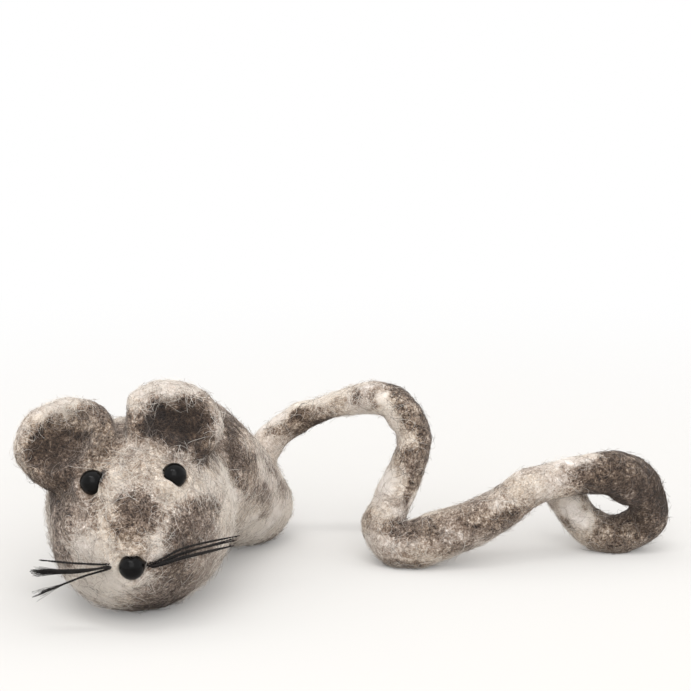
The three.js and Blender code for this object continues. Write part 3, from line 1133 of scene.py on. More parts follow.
@dataclass
class Fuzz:
    """Loose fibres that curl over a skin, some with an end that stands off it."""

    seed: int
    counts: dict[FibreTone, int]
    shortest: float = 2.5 * MM
    longest: float = 7 * MM
    steps: int = 7
    radius: float = 0.036 * MM
    lowest: float = -0.02 * MM
    highest: float = 0.2 * MM
    dark_highest: float = 0.06 * MM
    wisp_share: float = 0.5
    wisp_lift: float = 1.5 * MM
    curl: float = 0.34
    curl_change: float = 0.8
    most_curl: float = 0.6
    floor: float = 0.08 * MM
    tone_fall: float = 2.6
    dark_wisps: int = 3
    lift_power: float = 1.6
    end_widths: Pair = (0.45, 0.3)
    most_in_piece: int = 4000

    def lay(self, skin: Object, prefix: str) -> dict[FibreTone, list[list[Vector]]]:
        """Draws the fibres' paths.

        Args:
            skin: The felted surface, with its tones.
            prefix: The name that the log gives.

        Returns:
            The paths of each fibre tone.
        """
        rng = random.Random(self.seed)
        tree = tree_of(skin)
        mesh = skin.data
        tones = np.empty(len(mesh.vertices), np.float32)
        mesh.attributes["tone"].data.foreach_get("value", tones)
        found = {tone: [] for tone in FibreTone}
        for tone, count in self.counts.items():
            while len(found[tone]) < count:
                face = mesh.polygons[rng.randrange(len(mesh.polygons))]
                here = float(tones[face.vertices[0]])
                if rng.random() < max(1.0 - self.tone_fall * abs(here - tone.nearest), tone.strays * here):
                    wispy = tone is not FibreTone.DARK or len(found[tone]) % self.dark_wisps == 0
                    found[tone].append(self._path(rng, tree, face.center.copy(), face.normal.copy(), wispy))
        LOG.info("%s: %s fibres", prefix, sum(len(paths) for paths in found.values()))
        return found

    def _path(
        self, rng: random.Random, tree: BVHTree, place: Vector, normal: Vector, wispy: bool
    ) -> list[Vector]:
        """One fibre's points, which follow the skin in a curl, with an end off it at times if it is wispy.

        Args:
            rng: The random draws.
            tree: The skin.
            place: The fibre's root.
            normal: The skin's direction there.
            wispy: Whether its end may stand off.

        Returns:
            The points.
        """
        heading = normal.orthogonal().normalized()
        heading.rotate(Quaternion(normal, rng.uniform(0.0, 2.0 * math.pi)))
        step = rng.uniform(self.shortest, self.longest) / self.steps
        height = rng.uniform(self.lowest, self.highest if wispy else self.dark_highest)
        lift = rng.random() ** 2 * self.wisp_lift if wispy and rng.random() < self.wisp_share else 0.0
        turn = rng.uniform(-self.curl, self.curl)
        points = []
        for index in range(self.steps + 1):
            share = index / self.steps
            spot = place + normal * (height + lift * share**self.lift_power)
            spot.z = max(spot.z, self.floor)
            points.append(spot)
            heading.rotate(Quaternion(normal, turn))
            turn += rng.uniform(-self.curl_change, self.curl_change) * self.curl
            turn = min(max(turn, -self.most_curl), self.most_curl)
            place, normal, _, _ = tree.find_nearest(place + heading * step)
            heading = (heading - normal * heading.dot(normal)).normalized()
        return points

    def spin(self, name: str, paths: Sequence[Path], material: Material) -> Object:
        """Turns paths into one piece of thin three-sided fibres.

        Args:
            name: The piece's name.
            paths: The fibres' points.
            material: The fibres' material.

        Returns:
            The piece.
        """
        root, tip = self.end_widths
        widths = [root] + [1.0] * (self.steps - 1) + [tip]
        curve = line_curve(name, [Strand(path, widths) for path in paths])
        section = triangle_section(self.radius)
        curve.bevel_mode = "OBJECT"
        curve.bevel_object = section
        piece = mesh_of_curve(name, curve, material)
        bpy.data.objects.remove(section)
        return piece

    def spin_all(self, name: str, paths: Sequence[Path], material: Material) -> list[Object]:
        """Spins as many numbered pieces as the paths need.

        Args:
            name: The pieces' name, without its number.
            paths: The fibres' points.
            material: The fibres' material.

        Returns:
            The pieces.
        """
        pieces = []
        for first in range(0, len(paths), self.most_in_piece):
            batch = paths[first:first + self.most_in_piece]
            pieces.append(self.spin(f"{name}_{len(pieces) + 1}", batch, material))
        return pieces


def triangle_section(radius: float) -> Object:
    """A three-sided section for a curve's bevel.

    Args:
        radius: Its corners' distance from its middle.

    Returns:
        The section.
    """
    section = bpy.data.curves.new("section", "CURVE")
    section.dimensions = "2D"
    spline = section.splines.new("POLY")
    spline.points.add(2)
    for point, angle in zip(spline.points, (0.0, 240.0, 120.0)):
        turn = math.radians(angle)
        point.co = (radius * math.cos(turn), radius * math.sin(turn), 0.0, 1.0)
    spline.use_cyclic_u = True
    return linked("section", section)


def mesh_of_curve(name: str, curve: Curve, material: Material) -> Object:
    """A curve's tube as a closed mesh with its faces out.

    Args:
        name: The piece's name.
        curve: The lines.
        material: Its material.

    Returns:
        The piece.
    """
    drawn = linked(name + "_line", curve)
    mesh = drawn_mesh(drawn)
    bpy.data.objects.remove(drawn)
    bm = bmesh.new()
    bm.from_mesh(mesh)
    bpy.data.meshes.remove(mesh)
    if bm.calc_volume(signed=True) < 0:
        bmesh.ops.reverse_faces(bm, faces=bm.faces)
    piece = object_from(bm, name)
    piece.data.materials.append(material)
    return piece


@dataclass(frozen=True)
class Strand:
    """A line's points, and its thickness at each as a share of the curve's."""

    points: Sequence[Vector]
    thickness: Sequence[float] | None = None


def line_curve(name: str, strands: Sequence[Strand], radius: float = 0.0, closed: bool = False) -> Curve:
    """A curve of many lines.

    Args:
        name: Its name.
        strands: The lines.
        radius: The lines' radius, where they are round.
        closed: Whether each line runs back to its start.

    Returns:
        The curve.
    """
    curve = bpy.data.curves.new(name, "CURVE")
    curve.dimensions = "3D"
    curve.bevel_depth = radius
    curve.bevel_resolution = 1
    curve.use_fill_caps = True
    for strand in strands:
        spline = curve.splines.new("POLY")
        spline.points.add(len(strand.points) - 1)
        spline.points.foreach_set("co", [part for point in strand.points for part in (*point, 1.0)])
        if strand.thickness is not None:
            spline.points.foreach_set("radius", strand.thickness)
        spline.use_cyclic_u = closed
    return curve


def across_line(turn: float) -> Vector:
    """The direction across a line at a turn round it, in radians."""
    return Vector((math.cos(turn), math.sin(turn), 0.0))


RIGHT_EYE = (-30.7, 32.1)
LEFT_EYE = (26.1, 35.4)
NOSE = (-3.6, -10.3)
BEAD_SPOTS = (RIGHT_EYE, LEFT_EYE, NOSE)


@dataclass
class Head:
    """The felted head: a ball with a blunt snout."""

    radius: float = 25 * MM
    rest_depth: float = 0.5 * MM
    snout_rise: float = 4.6 * MM
    snout_spread: float = 33.0
    wall: float = 7 * MM

    @property
    def centre(self) -> Vector:
        """The ball's centre."""
        return Vector((0.0, 0.0, self.radius - self.rest_depth))

    @property
    def snout(self) -> Vector:
        """The direction in which the snout points."""
        return direction_of(*NOSE)

    def reach(self, out: Vector) -> float:
        """The felt's distance from the centre in a direction."""
        angle = out.angle(self.snout)
        return self.radius + self.snout_rise * math.exp(-((angle / math.radians(self.snout_spread)) ** 2))

    def add_form(self, bm: BMesh) -> None:
        """Adds the head's form."""
        for vert in ball_form(bm, detail=6):
            out = vert.co.normalized()
            vert.co = self.centre + out * self.reach(out)

    def seat(self, azimuth: float, elevation: float, turn: float = 0.0, stand_off: float = 0.0) -> Matrix:
        """A place on the felt: its Z points out, and its X lies level and is then turned.

        Args:
            azimuth: Degrees from straight ahead towards +X.
            elevation: Degrees above the level.
            turn: Degrees about its Z.
            stand_off: Its height above the felt.

        Returns:
            The frame.
        """
        out = direction_of(azimuth, elevation)
        across = UP.cross(out).normalized()
        basis = Matrix((across, out.cross(across), out)).transposed().to_4x4()
        place = self.centre + out * (self.reach(out) + stand_off)
        return Matrix.Translation(place) @ basis @ Matrix.Rotation(math.radians(turn), 4, "Z")


@dataclass
class Ear:
    """One cupped felt flap, felted on along its root."""

    body: Body
    joint: str
    azimuth: float
    elevation: float
    roll: float
    turn: float
    half_width: float
    half_height: float
    rise: float
    slide: float
    face_lift: float = 16.0
    thickness: float = 11 * MM
    cup_rim: float = 3.4 * MM
    cup_raise: float = 1.4 * MM
    cup_share: float = 0.5
    cup_easing: float = 0.85
    root_radius: float = 3.1 * MM
    root_share: float = 0.6
    cut_height: float = 0.6 * MM
    bend_height: float = 6.5 * MM
    cup_margin: float = 2 * MM
    crease_height: float = 1 * MM
    crease_half_share: float = 0.55
    crease_depth_share: float = 0.7
    crease_reach: Pair = (6 * MM, 13 * MM)
    crease_off_head: Pair = (2 * MM, 6 * MM)
    fibre_reach: float = 4 * MM

    @property
    def out(self) -> Vector:
        """The direction from the head's centre through the ear's hinge."""
        return direction_of(self.azimuth, self.elevation)

    @property
    def hinge(self) -> Vector:
        """The hinge's middle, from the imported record."""
        return Vector(JOINTS[self.joint]["pos_m"])

    def place(self) -> Matrix:
        """The flap's frame: X along the root, Y towards the tip and Z out of the cup.

        Returns:
            The frame.
        """
        turned = Matrix.Rotation(math.radians(self.turn), 4, "Z")
        lifted = Matrix.Rotation(math.radians(90.0 - self.face_lift), 4, "X")
        rolled = Matrix.Rotation(math.radians(self.roll), 4, "Z")
        return Matrix.Translation(self.hinge) @ turned @ lifted @ rolled

    def cup_floor(self, across: float, above: float) -> float:
        """The cup's depth at a place of the flap, or the flap's front where the cup ends.

        Args:
            across: The place along the root.
            above: The place towards the tip.

        Returns:
            The height over the flap's middle.
        """
        wide = (across - self.slide) / (self.half_width - self.cup_rim)
        high = (above - self.rise - self.cup_raise) / (self.half_height - self.cup_rim)
        spread = 1.0 - wide**2 - high**2
        if spread <= 0:
            return self.thickness
        return self.thickness * self.cup_share - self.thickness / 2 * math.sqrt(spread)

    def add_form(self, bm: BMesh) -> None:
        """Adds the flap and its rolled root.

        Args:
            bm: The bmesh that gets them.
        """
        flap = ball_form(bm, detail=6)
        scale = Matrix.Diagonal((self.half_width, self.half_height, self.thickness / 2, 1.0))
        bmesh.ops.transform(bm, matrix=Matrix.Translation((self.slide, self.rise, 0.0)) @ scale, verts=flap)
        for vert in flap:
            vert.co.z = min(vert.co.z, self.cup_floor(vert.co.x, vert.co.y))
        bmesh.ops.transform(bm, matrix=self.place(), verts=flap)
        root = ball_form(bm, radius=self.root_radius)
        bmesh.ops.scale(bm, vec=(self.half_width * self.root_share / self.root_radius, 1.0, 1.0), verts=root)
        bmesh.ops.transform(bm, matrix=self.place(), verts=root)

    def nearness(self, places: np.ndarray, head: Head) -> np.ndarray:
        """How near each place is to the crease between the ear and the head, from 0 to 1.

        Args:
            places: The places, one row each.
            head: The head.

        Returns:
            The nearness of each.
        """
        flap = self.place().inverted()
        turned = places @ np.array(flap.to_3x3()).T + np.array(flap.translation)
        aside = np.abs(turned[:, 0] - self.slide) - self.half_width * self.crease_half_share
        aside = np.maximum(aside, 0.0)
        from_root = np.sqrt(aside**2 + turned[:, 1] ** 2 + (turned[:, 2] * self.crease_depth_share) ** 2)
        from_centre = np.linalg.norm(places - np.array(head.centre), axis=1)
        off_head = np.abs(from_centre - head.radius - self.crease_height)
        near_root = 1.0 - smooth_step(*self.crease_reach, from_root)
        return near_root * (1.0 - smooth_step(*self.crease_off_head, off_head))

    def cup_nearness(self, places: np.ndarray) -> np.ndarray:
        """How near each place is to the cup, from 0 to 1."""
        middle = self.place() @ Vector((self.slide, self.rise + self.cup_raise, self.thickness / 4))
        apart = np.linalg.norm(places - np.array(middle), axis=1)
        return 1.0 - smooth_step(self.half_height, self.half_width + self.cup_margin, apart)

    def bend(self, piece: Object) -> None:
        """Bakes a piece's place into its mesh."""
        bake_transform(piece)


RIGHT_EAR = Ear(
    body=Body.EAR_RIGHT,
    joint="ear_right_fold",
    azimuth=-48.4,
    elevation=44.4,
    roll=36,
    turn=-12,
    half_width=14 * MM,
    half_height=11 * MM,
    rise=6.8 * MM,
    slide=-1.7 * MM,
)

LEFT_EAR = Ear(
    body=Body.EAR_LEFT,
    joint="ear_left_fold",
    azimuth=43.3,
    elevation=54.9,
    roll=-20,
    turn=10,
    half_width=12.9 * MM,
    half_height=10.8 * MM,
    rise=6 * MM,
    slide=-1.9 * MM,
    cup_share=0.56,
    cup_raise=-0.6 * MM,
    cup_easing=0.8,
)

HEAD_SWELLS = (
    Swell(x=41, y=515, spread=9 * MM, height=-1.8 * MM),
    Swell(x=44, y=545, spread=7 * MM, height=-0.9 * MM),
    Swell(x=22, y=424, spread=6 * MM, height=1.2 * MM),
    Swell(x=56, y=400, spread=6 * MM, height=0.5 * MM),
    Swell(x=24, y=476, spread=5 * MM, height=-1.5 * MM),
    Swell(x=98, y=401, spread=5 * MM, height=-0.6 * MM),
    Swell(x=125, y=409, spread=3 * MM, height=-1.0 * MM),
    Swell(x=208, y=392, spread=4 * MM, height=0.6 * MM),
    Swell(x=127, y=397, spread=2.5 * MM, height=0.8 * MM),
    Swell(x=115, y=565, spread=1.7 * MM, height=1.1 * MM),
)

BODY_SWELLS = (
    Swell(x=239, y=419, spread=6 * MM, height=-0.6 * MM),
    Swell(x=262, y=428, spread=4 * MM, height=1.0 * MM),
    Swell(x=277, y=420, spread=5 * MM, height=1.7 * MM),
    Swell(x=297, y=406, spread=5 * MM, height=1.7 * MM),
    Swell(x=290, y=449, spread=6 * MM, height=-0.9 * MM),
    Swell(x=291, y=480, spread=9 * MM, height=-1.0 * MM),
    Swell(x=363, y=522, spread=4 * MM, height=0.7 * MM),
    Swell(x=318, y=432, spread=7 * MM, height=-0.8 * MM),
    Swell(x=322, y=394, spread=5 * MM, height=-0.5 * MM),
    Swell(x=344, y=391, spread=4 * MM, height=-0.8 * MM),
    Swell(x=394, y=381, spread=5 * MM, height=-1.1 * MM),
    Swell(x=410, y=392, spread=4 * MM, height=-0.7 * MM),
    Swell(x=424, y=408, spread=5 * MM, height=-1.0 * MM),
    Swell(x=388, y=422, spread=4 * MM, height=1.1 * MM),
    Swell(x=392, y=447, spread=4 * MM, height=-0.9 * MM),
    Swell(x=367, y=503, spread=4 * MM, height=-0.7 * MM),
    Swell(x=422, y=512, spread=4 * MM, height=0.6 * MM),
    Swell(x=521, y=471, spread=7 * MM, height=1.7 * MM),
    Swell(x=545, y=506, spread=5 * MM, height=-0.7 * MM),
    Swell(x=560, y=459, spread=4 * MM, height=0.5 * MM),
    Swell(x=668, y=497, spread=8 * MM, height=-1.7 * MM),
    Swell(x=620, y=504, spread=4 * MM, height=1.5 * MM),
    Swell(x=589, y=491, spread=3 * MM, height=-1.4 * MM),
    Swell(x=580, y=457, spread=6 * MM, height=0.5 * MM),
    Swell(x=568, y=527, spread=5 * MM, height=-0.9 * MM),
)

HEAD_MOTTLES = (
    Mottle(x=124, y=438, wide=24, high=18, tone=0.47),
    Mottle(x=122, y=417, wide=10, high=7, tone=0.75),
    Mottle(x=150, y=464, wide=34, high=24, tone=0.62),
    Mottle(x=112, y=488, wide=20, high=14, tone=0.72),
    Mottle(x=168, y=493, wide=26, high=14, tone=0.78),
    Mottle(x=200, y=488, wide=18, high=14, tone=0.8),
    Mottle(x=136, y=451, wide=16, high=5, tone=0.66),
    Mottle(x=60, y=520, wide=16, high=22, tone=0.38),
    Mottle(x=90, y=510, wide=14, high=14, tone=0.42),
    Mottle(x=60, y=555, wide=16, high=24, tone=0.4),
    Mottle(x=44, y=525, wide=12, high=42, tone=0.68),
    Mottle(x=97, y=542, wide=20, high=18, tone=0.84),
    Mottle(x=136, y=516, wide=27, high=28, tone=0.33),
    Mottle(x=134, y=504, wide=18, high=14, tone=0.24),
    Mottle(x=160, y=542, wide=14, high=12, tone=0.86),
    Mottle(x=168, y=524, wide=8, high=10, tone=0.72),
    Mottle(x=182, y=508, wide=9, high=6, tone=0.36),
    Mottle(x=196, y=524, wide=20, high=21, tone=0.33),
    Mottle(x=182, y=543, wide=14, high=10, tone=0.26),
    Mottle(x=216, y=506, wide=9, high=14, tone=0.36),
    Mottle(x=229, y=480, wide=8, high=46, tone=0.85, tilt=8),
    Mottle(x=176, y=577, wide=26, high=15, tone=0.3, tilt=15),
    Mottle(x=155, y=597, wide=24, high=12, tone=0.34),
    Mottle(x=204, y=562, wide=18, high=18, tone=0.55),
    Mottle(x=110, y=590, wide=26, high=16, tone=0.97),
    Mottle(x=78, y=585, wide=22, high=16, tone=0.86),
    Mottle(x=146, y=577, wide=9, high=8, tone=0.82),
    Mottle(x=146, y=564, wide=4.5, high=3.5, tone=-0.2),
    Mottle(x=88, y=600, wide=13, high=6, tone=0.62),
    Mottle(x=124, y=602, wide=11, high=5, tone=0.72),
    Mottle(x=95.5, y=590.5, wide=3.4, high=2.4, tone=0.05),
    Mottle(x=58, y=404, wide=36, high=13, tone=0.85, tilt=28),
    Mottle(x=16, y=440, wide=9, high=30, tone=0.86),
    Mottle(x=52, y=450, wide=34, high=24, tone=0.14, tilt=-12),
    Mottle(x=82, y=436, wide=18, high=7, tone=0.1, tilt=-8),
    Mottle(x=97, y=412, wide=18, high=14, tone=0.33, tilt=-35),
    Mottle(x=72, y=411, wide=8, high=8, tone=0.66),
    Mottle(x=62, y=478, wide=26, high=20, tone=0.2, tilt=-30),
    Mottle(x=36, y=478, wide=12, high=10, tone=0.34, tilt=-30),
    Mottle(x=55, y=497, wide=10, high=14, tone=0.22),
    Mottle(x=99, y=452, wide=14, high=18, tone=0.4),
    Mottle(x=101, y=478, wide=8, high=10, tone=-0.3, tilt=-20),
    Mottle(x=166, y=387, wide=42, high=13, tone=0.84),
    Mottle(x=134, y=402, wide=12, high=14, tone=0.86),
    # The left ear's cup: dark wool with painted shade of its hollow laid on, so these tones run darker than
    # the wool itself.
    Mottle(x=172, y=420, wide=38, high=20, tone=0.04, tilt=-6),
    Mottle(x=178, y=440, wide=18, high=9, tone=0.1, tilt=-25),
    Mottle(x=164, y=424, wide=24, high=12, tone=-0.03),
    Mottle(x=194, y=434, wide=15, high=13, tone=-0.03),
    Mottle(x=198, y=416, wide=15, high=13, tone=0.08),
    Mottle(x=200, y=452, wide=9, high=15, tone=0.12, tilt=20),
    Mottle(x=217, y=404, wide=4, high=10, tone=0.6),
    Mottle(x=221, y=428, wide=4, high=30, tone=0.78),
)

BODY_MOTTLES = (
    Mottle(x=262, y=526, wide=32, high=28, tone=0.98),
    Mottle(x=286, y=512, wide=12, high=22, tone=0.9),
    Mottle(x=250, y=428, wide=16, high=16, tone=0.55),
    Mottle(x=231, y=424, wide=9, high=16, tone=0.28, tilt=20),
    Mottle(x=232, y=452, wide=8, high=26, tone=0.19, tilt=12),
    Mottle(x=240, y=480, wide=6, high=20, tone=0.19, tilt=22),
    Mottle(x=251, y=482, wide=10, high=24, tone=0.56, tilt=24),
    Mottle(x=246, y=458, wide=7, high=18, tone=0.3, tilt=20),
    Mottle(x=262, y=492, wide=6, high=20, tone=0.42, tilt=24),
    Mottle(x=266, y=510, wide=9, high=8, tone=0.6),
    Mottle(x=258, y=456, wide=4, high=18, tone=0.66, tilt=28),
    Mottle(x=267, y=476, wide=5, high=24, tone=0.82, tilt=26),
    Mottle(x=272, y=470, wide=2, high=26, tone=0.45, tilt=28),
    Mottle(x=283, y=490, wide=5, high=9, tone=0.45, tilt=15),
    Mottle(x=272, y=446, wide=10, high=9, tone=0.78),
    Mottle(x=272, y=432, wide=8, high=6, tone=0.45, tilt=25),
    Mottle(x=286, y=428, wide=13, high=8, tone=0.38, tilt=35),
    Mottle(x=297, y=416, wide=7, high=6, tone=0.17),
    Mottle(x=274, y=416, wide=26, high=6, tone=0.95, tilt=38),
    Mottle(x=303, y=400, wide=18, high=6, tone=0.92, tilt=25),
    Mottle(x=320, y=402, wide=16, high=11, tone=0.88),
    Mottle(x=321, y=414, wide=12, high=3, tone=0.6, tilt=20),
    Mottle(x=338, y=408, wide=12, high=5, tone=0.68, tilt=12),
    Mottle(x=340, y=391, wide=18, high=8, tone=0.9, tilt=15),
    Mottle(x=357, y=398, wide=7, high=9, tone=0.36),
    Mottle(x=366, y=385, wide=12, high=6, tone=0.86),
    Mottle(x=374, y=399, wide=4, high=11, tone=0.46),
    Mottle(x=394, y=389, wide=12, high=8, tone=0.36, tilt=-45),
    Mottle(x=387, y=404, wide=9, high=16, tone=0.94, tilt=15),
    Mottle(x=409, y=415, wide=9, high=22, tone=0.36, tilt=30),
    Mottle(x=424, y=442, wide=8, high=26, tone=0.29),
    Mottle(x=396, y=424, wide=7, high=12, tone=0.86),
    Mottle(x=406, y=432, wide=6, high=8, tone=0.66),
    Mottle(x=409, y=456, wide=9, high=13, tone=0.27),
    Mottle(x=396, y=465, wide=6, high=7, tone=0.52),
    Mottle(x=415, y=474, wide=8, high=16, tone=0.38, tilt=-15),
    Mottle(x=408, y=496, wide=5, high=18, tone=0.34, tilt=-10),
    Mottle(x=386, y=480, wide=12, high=15, tone=0.99),
    Mottle(x=386, y=500, wide=12, high=9, tone=0.72),
    Mottle(x=372, y=498, wide=6, high=10, tone=0.9),
    Mottle(x=398, y=500, wide=5, high=12, tone=0.68),
    Mottle(x=368, y=520, wide=7, high=13, tone=0.53),
    Mottle(x=381, y=520, wide=5, high=8, tone=0.6),
    Mottle(x=408, y=527, wide=28, high=9, tone=0.26),
    Mottle(x=424, y=536, wide=32, high=9, tone=0.34, tilt=6),
    Mottle(x=490, y=494, wide=16, high=5, tone=0.7, tilt=30),
    Mottle(x=514, y=477, wide=14, high=5, tone=0.8, tilt=40),
    Mottle(x=438, y=530, wide=16, high=11, tone=0.36, tilt=10),
    Mottle(x=392, y=513, wide=10, high=4, tone=0.8),
    Mottle(x=404, y=547, wide=28, high=9, tone=0.62),
    # Painted shade: a dark band along the near strand's underside where it meets the table.
    Mottle(x=408, y=563, wide=24, high=4, tone=0.34),
    Mottle(x=446, y=518, wide=16, high=8, tone=0.5, tilt=15),
    Mottle(x=454, y=534, wide=9, high=7, tone=0.6),
    Mottle(x=458, y=549, wide=20, high=7, tone=0.41, tilt=18),
    Mottle(x=474, y=512, wide=18, high=14, tone=0.48, tilt=22),
    Mottle(x=492, y=526, wide=15, high=8, tone=0.33, tilt=20),
    Mottle(x=496, y=506, wide=12, high=9, tone=0.74, tilt=30),
    Mottle(x=520, y=488, wide=26, high=16, tone=0.71, tilt=30),
    Mottle(x=550, y=478, wide=20, high=15, tone=0.75, tilt=15),
    Mottle(x=546, y=496, wide=10, high=6, tone=0.76),
    Mottle(x=622, y=496, wide=52, high=48, tone=0.16),
    Mottle(x=580, y=477, wide=14, high=12, tone=0.26),
    Mottle(x=594, y=478, wide=12, high=12, tone=0.22),
    Mottle(x=588, y=457, wide=17, high=4, tone=0.8, tilt=10),
    Mottle(x=612, y=476, wide=12, high=12, tone=0.22),
    Mottle(x=614, y=454, wide=14, high=7, tone=0.26),
    Mottle(x=634, y=466, wide=12, high=11, tone=0.31),
    Mottle(x=652, y=480, wide=10, high=16, tone=0.18),
    Mottle(x=662, y=502, wide=7, high=22, tone=0.12),
    Mottle(x=625, y=495, wide=8, high=6, tone=0.34),
    Mottle(x=642, y=506, wide=12, high=10, tone=0.26),
    Mottle(x=628, y=516, wide=20, high=9, tone=0.2),
    Mottle(x=641, y=530, wide=14, high=9, tone=0.28),
    Mottle(x=616, y=534, wide=18, high=9, tone=0.42),
    Mottle(x=600, y=528, wide=8, high=9, tone=0.4),
    Mottle(x=655, y=528, wide=10, high=14, tone=0.22),
    Mottle(x=628, y=546, wide=22, high=6, tone=0.4),
    Mottle(x=603, y=542, wide=13, high=7, tone=0.42),
    Mottle(x=573, y=510, wide=17, high=24, tone=1, tilt=35),
    Mottle(x=587, y=522, wide=7, high=10, tone=0.95),
    Mottle(x=593, y=506, wide=2.5, high=12, tone=0.3, tilt=8),
    Mottle(x=566, y=524, wide=3, high=12, tone=0.46, tilt=40),
)


@dataclass(frozen=True)
class Lip:
    """Wool drawn up against the bead at a spot, so that it covers some of the bead's edge."""

    spot: Pair
    turn: float
    aside: float = 3.7 * MM
    depth: float = 2.0 * MM
    width: float = 3.4 * MM
    height: float = 2.5 * MM


def thread_lip(spot: Pair, turn: float, height: float) -> Lip:
    """The small lip that hides where a bead's thread enters the felt."""
    return Lip(spot, turn, aside=4.1 * MM, depth=1.4 * MM, width=2.3 * MM, height=height)


BEAD_LIPS = (
    Lip(LEFT_EYE, turn=-135, width=3 * MM, height=3.1 * MM),
    Lip(RIGHT_EYE, turn=4, aside=3.4 * MM, width=2.8 * MM, height=3 * MM),
    Lip(RIGHT_EYE, turn=212, aside=4 * MM, height=2.6 * MM),
    thread_lip(LEFT_EYE, turn=-20, height=1.2 * MM),
    thread_lip(LEFT_EYE, turn=160, height=1.2 * MM),
    thread_lip(RIGHT_EYE, turn=20, height=0.6 * MM),
    thread_lip(RIGHT_EYE, turn=200, height=0.6 * MM),
    thread_lip(NOSE, turn=90, height=4 * MM),
    thread_lip(NOSE, turn=270, height=4 * MM),
)


@dataclass
class HeadFelt:
    """The felted skin of the head and its two ears, in one run of wool."""

    head: Head
    ears: tuple[Ear, ...]
    coat: Coat
    voxel: float = 0.5 * MM
    lumps: Lumps = field(default_factory=Lumps)
    dimple: float = 0.9 * MM
    dimple_spread: float = 4.2 * MM
    lips: tuple[Lip, ...] = BEAD_LIPS
    swells: tuple[Swell, ...] = HEAD_SWELLS
    bead_clear: float = 3.35 * MM
    least_easing: float = 0.08
    easing_rounds: int = 36

    def build(self, felt: Material, fibres: FibreMaterials) -> None:
        """Makes the head's and the ears' skins and their fibres.

        Args:
            felt: The skin's material.
            fibres: The fibres' materials.
        """
        bm = bmesh.new()
        self.head.add_form(bm)
        for ear in self.ears:
            ear.add_form(bm)
        whole = voxel_skin(bm, "whole_head", self.voxel)
        places = places_of(whole.data)
        weights = [ear.nearness(places, self.head) for ear in self.ears]
        weights += [ear.cup_nearness(places) * ear.cup_easing for ear in self.ears]
        weights = np.maximum(np.maximum.reduce(weights), self.least_easing)
        eased_where(whole, weights, self.easing_rounds)
        for swell in self.swells:
            swell.raise_on(whole, self.coat.camera)
        self._dimple(whole)
        self.lumps.raise_on(whole)
        toned_and_felted(whole, self.coat, felt)
        self._split(whole, felt)
        self._fluff(whole, fibres)
        bpy.data.objects.remove(whole)

    def _dimple(self, whole: Object) -> None:
        """Draws the felt in round each bead, as the thread's pull does.

        Args:
            whole: The skin of both.
        """
        places, normals = places_of(whole.data), normals_of(whole.data)
        for spot in BEAD_SPOTS:
            middle = self.head.seat(*spot).translation
            places -= normals * (self.dimple * nearness_to(middle, places, self.dimple_spread))
        for lip in self.lips:
            seat = self.head.seat(*lip.spot, lip.turn)
            middle = seat @ Vector((lip.aside, 0.0, 0.0))
            offset = (places - np.array(middle)) @ np.array(seat.to_3x3())
            across, along, out = ((offset / (lip.depth, lip.width, lip.depth)) ** 2).T
            apart = across + along + out
            places += np.outer(lip.height * np.exp(-apart), np.array(seat.to_3x3().col[2]))
        set_places(whole.data, places)

    def _split(self, whole: Object, felt: Material) -> None:
        """Parts the ears from the head where they bend.

        Args:
            whole: The skin of both.
            felt: The skin's material.
        """
        bm = bmesh.new()
        bm.from_mesh(whole.data)
        for ear in self.ears:
            tip = ear.place() @ Vector((ear.slide, ear.rise + ear.half_height, 0.0))
            part = part_beyond(bm, ear.hinge + ear.out * ear.cut_height, ear.out, tip)
            ear.bend(wool_piece(part, ear.body.value + "_wool", felt, ear.body.value))
        hollow = bmesh.new()
        ball_form(hollow, self.head.centre, self.head.radius - self.head.wall)
        joined_in(bm, hollow, inside_out=True)
        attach(wool_piece(bm, "head_wool", felt, "head_felt"), Body.MOUSE.value)

    def _fluff(self, whole: Object, fibres: FibreMaterials) -> None:
        """Lays the loose fibres, each on the piece that it grows from.

        Args:
            whole: The skin of both.
            fibres: The fibres' materials.
        """
        counts = {FibreTone.DARK: 3800, FibreTone.GREY: 5200, FibreTone.CREAM: 7000}
        fuzz = Fuzz(seed=11, counts=counts)
        for tone, paths in fuzz.lay(whole, "head and ears").items():
            paths = [path for path in paths if not self._over_bead(path)]
            for ear in self.ears:
                on_ear = [path for path in paths if self._is_on(ear, path)]
                paths = [path for path in paths if not self._is_on(ear, path)]
                ear.bend(fuzz.spin(f"{ear.body.value}_{tone.word}_fibres", on_ear, fibres[tone]))
            for piece in fuzz.spin_all(f"head_{tone.word}_fibres", paths, fibres[tone]):
                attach(piece, Body.MOUSE.value)

    def _over_bead(self, path: Path) -> bool:
        """Whether a fibre has a point on a bead."""
        middles = [self.head.seat(*spot).translation for spot in BEAD_SPOTS]
        return any((point - middle).length < self.bead_clear for point in path for middle in middles)

    def _is_on(self, ear: Ear, path: Path) -> bool:
        """Whether a fibre has a point on an ear, beyond where it bends.

        Args:
            ear: The ear.
            path: The fibre's points.

        Returns:
            Whether it has.
        """
        flap = ear.place().inverted()
        reach = max(ear.half_width, ear.half_height) + ear.fibre_reach
        for point in path:
            here = flap @ point
            beyond = (point - ear.hinge).dot(ear.out) > ear.cut_height
            if beyond and (here - Vector((ear.slide, ear.rise, 0.0))).length < reach:
                return True
        return False


@dataclass(frozen=True)
class TailPoint:
    """A point of the tail's middle line, as shares of the tail's reach, depth, rise and diameter.

    Its up is None where the tail rests on the table.
    """

    across: float
    ahead: float
    up: float | None
    thickness: float


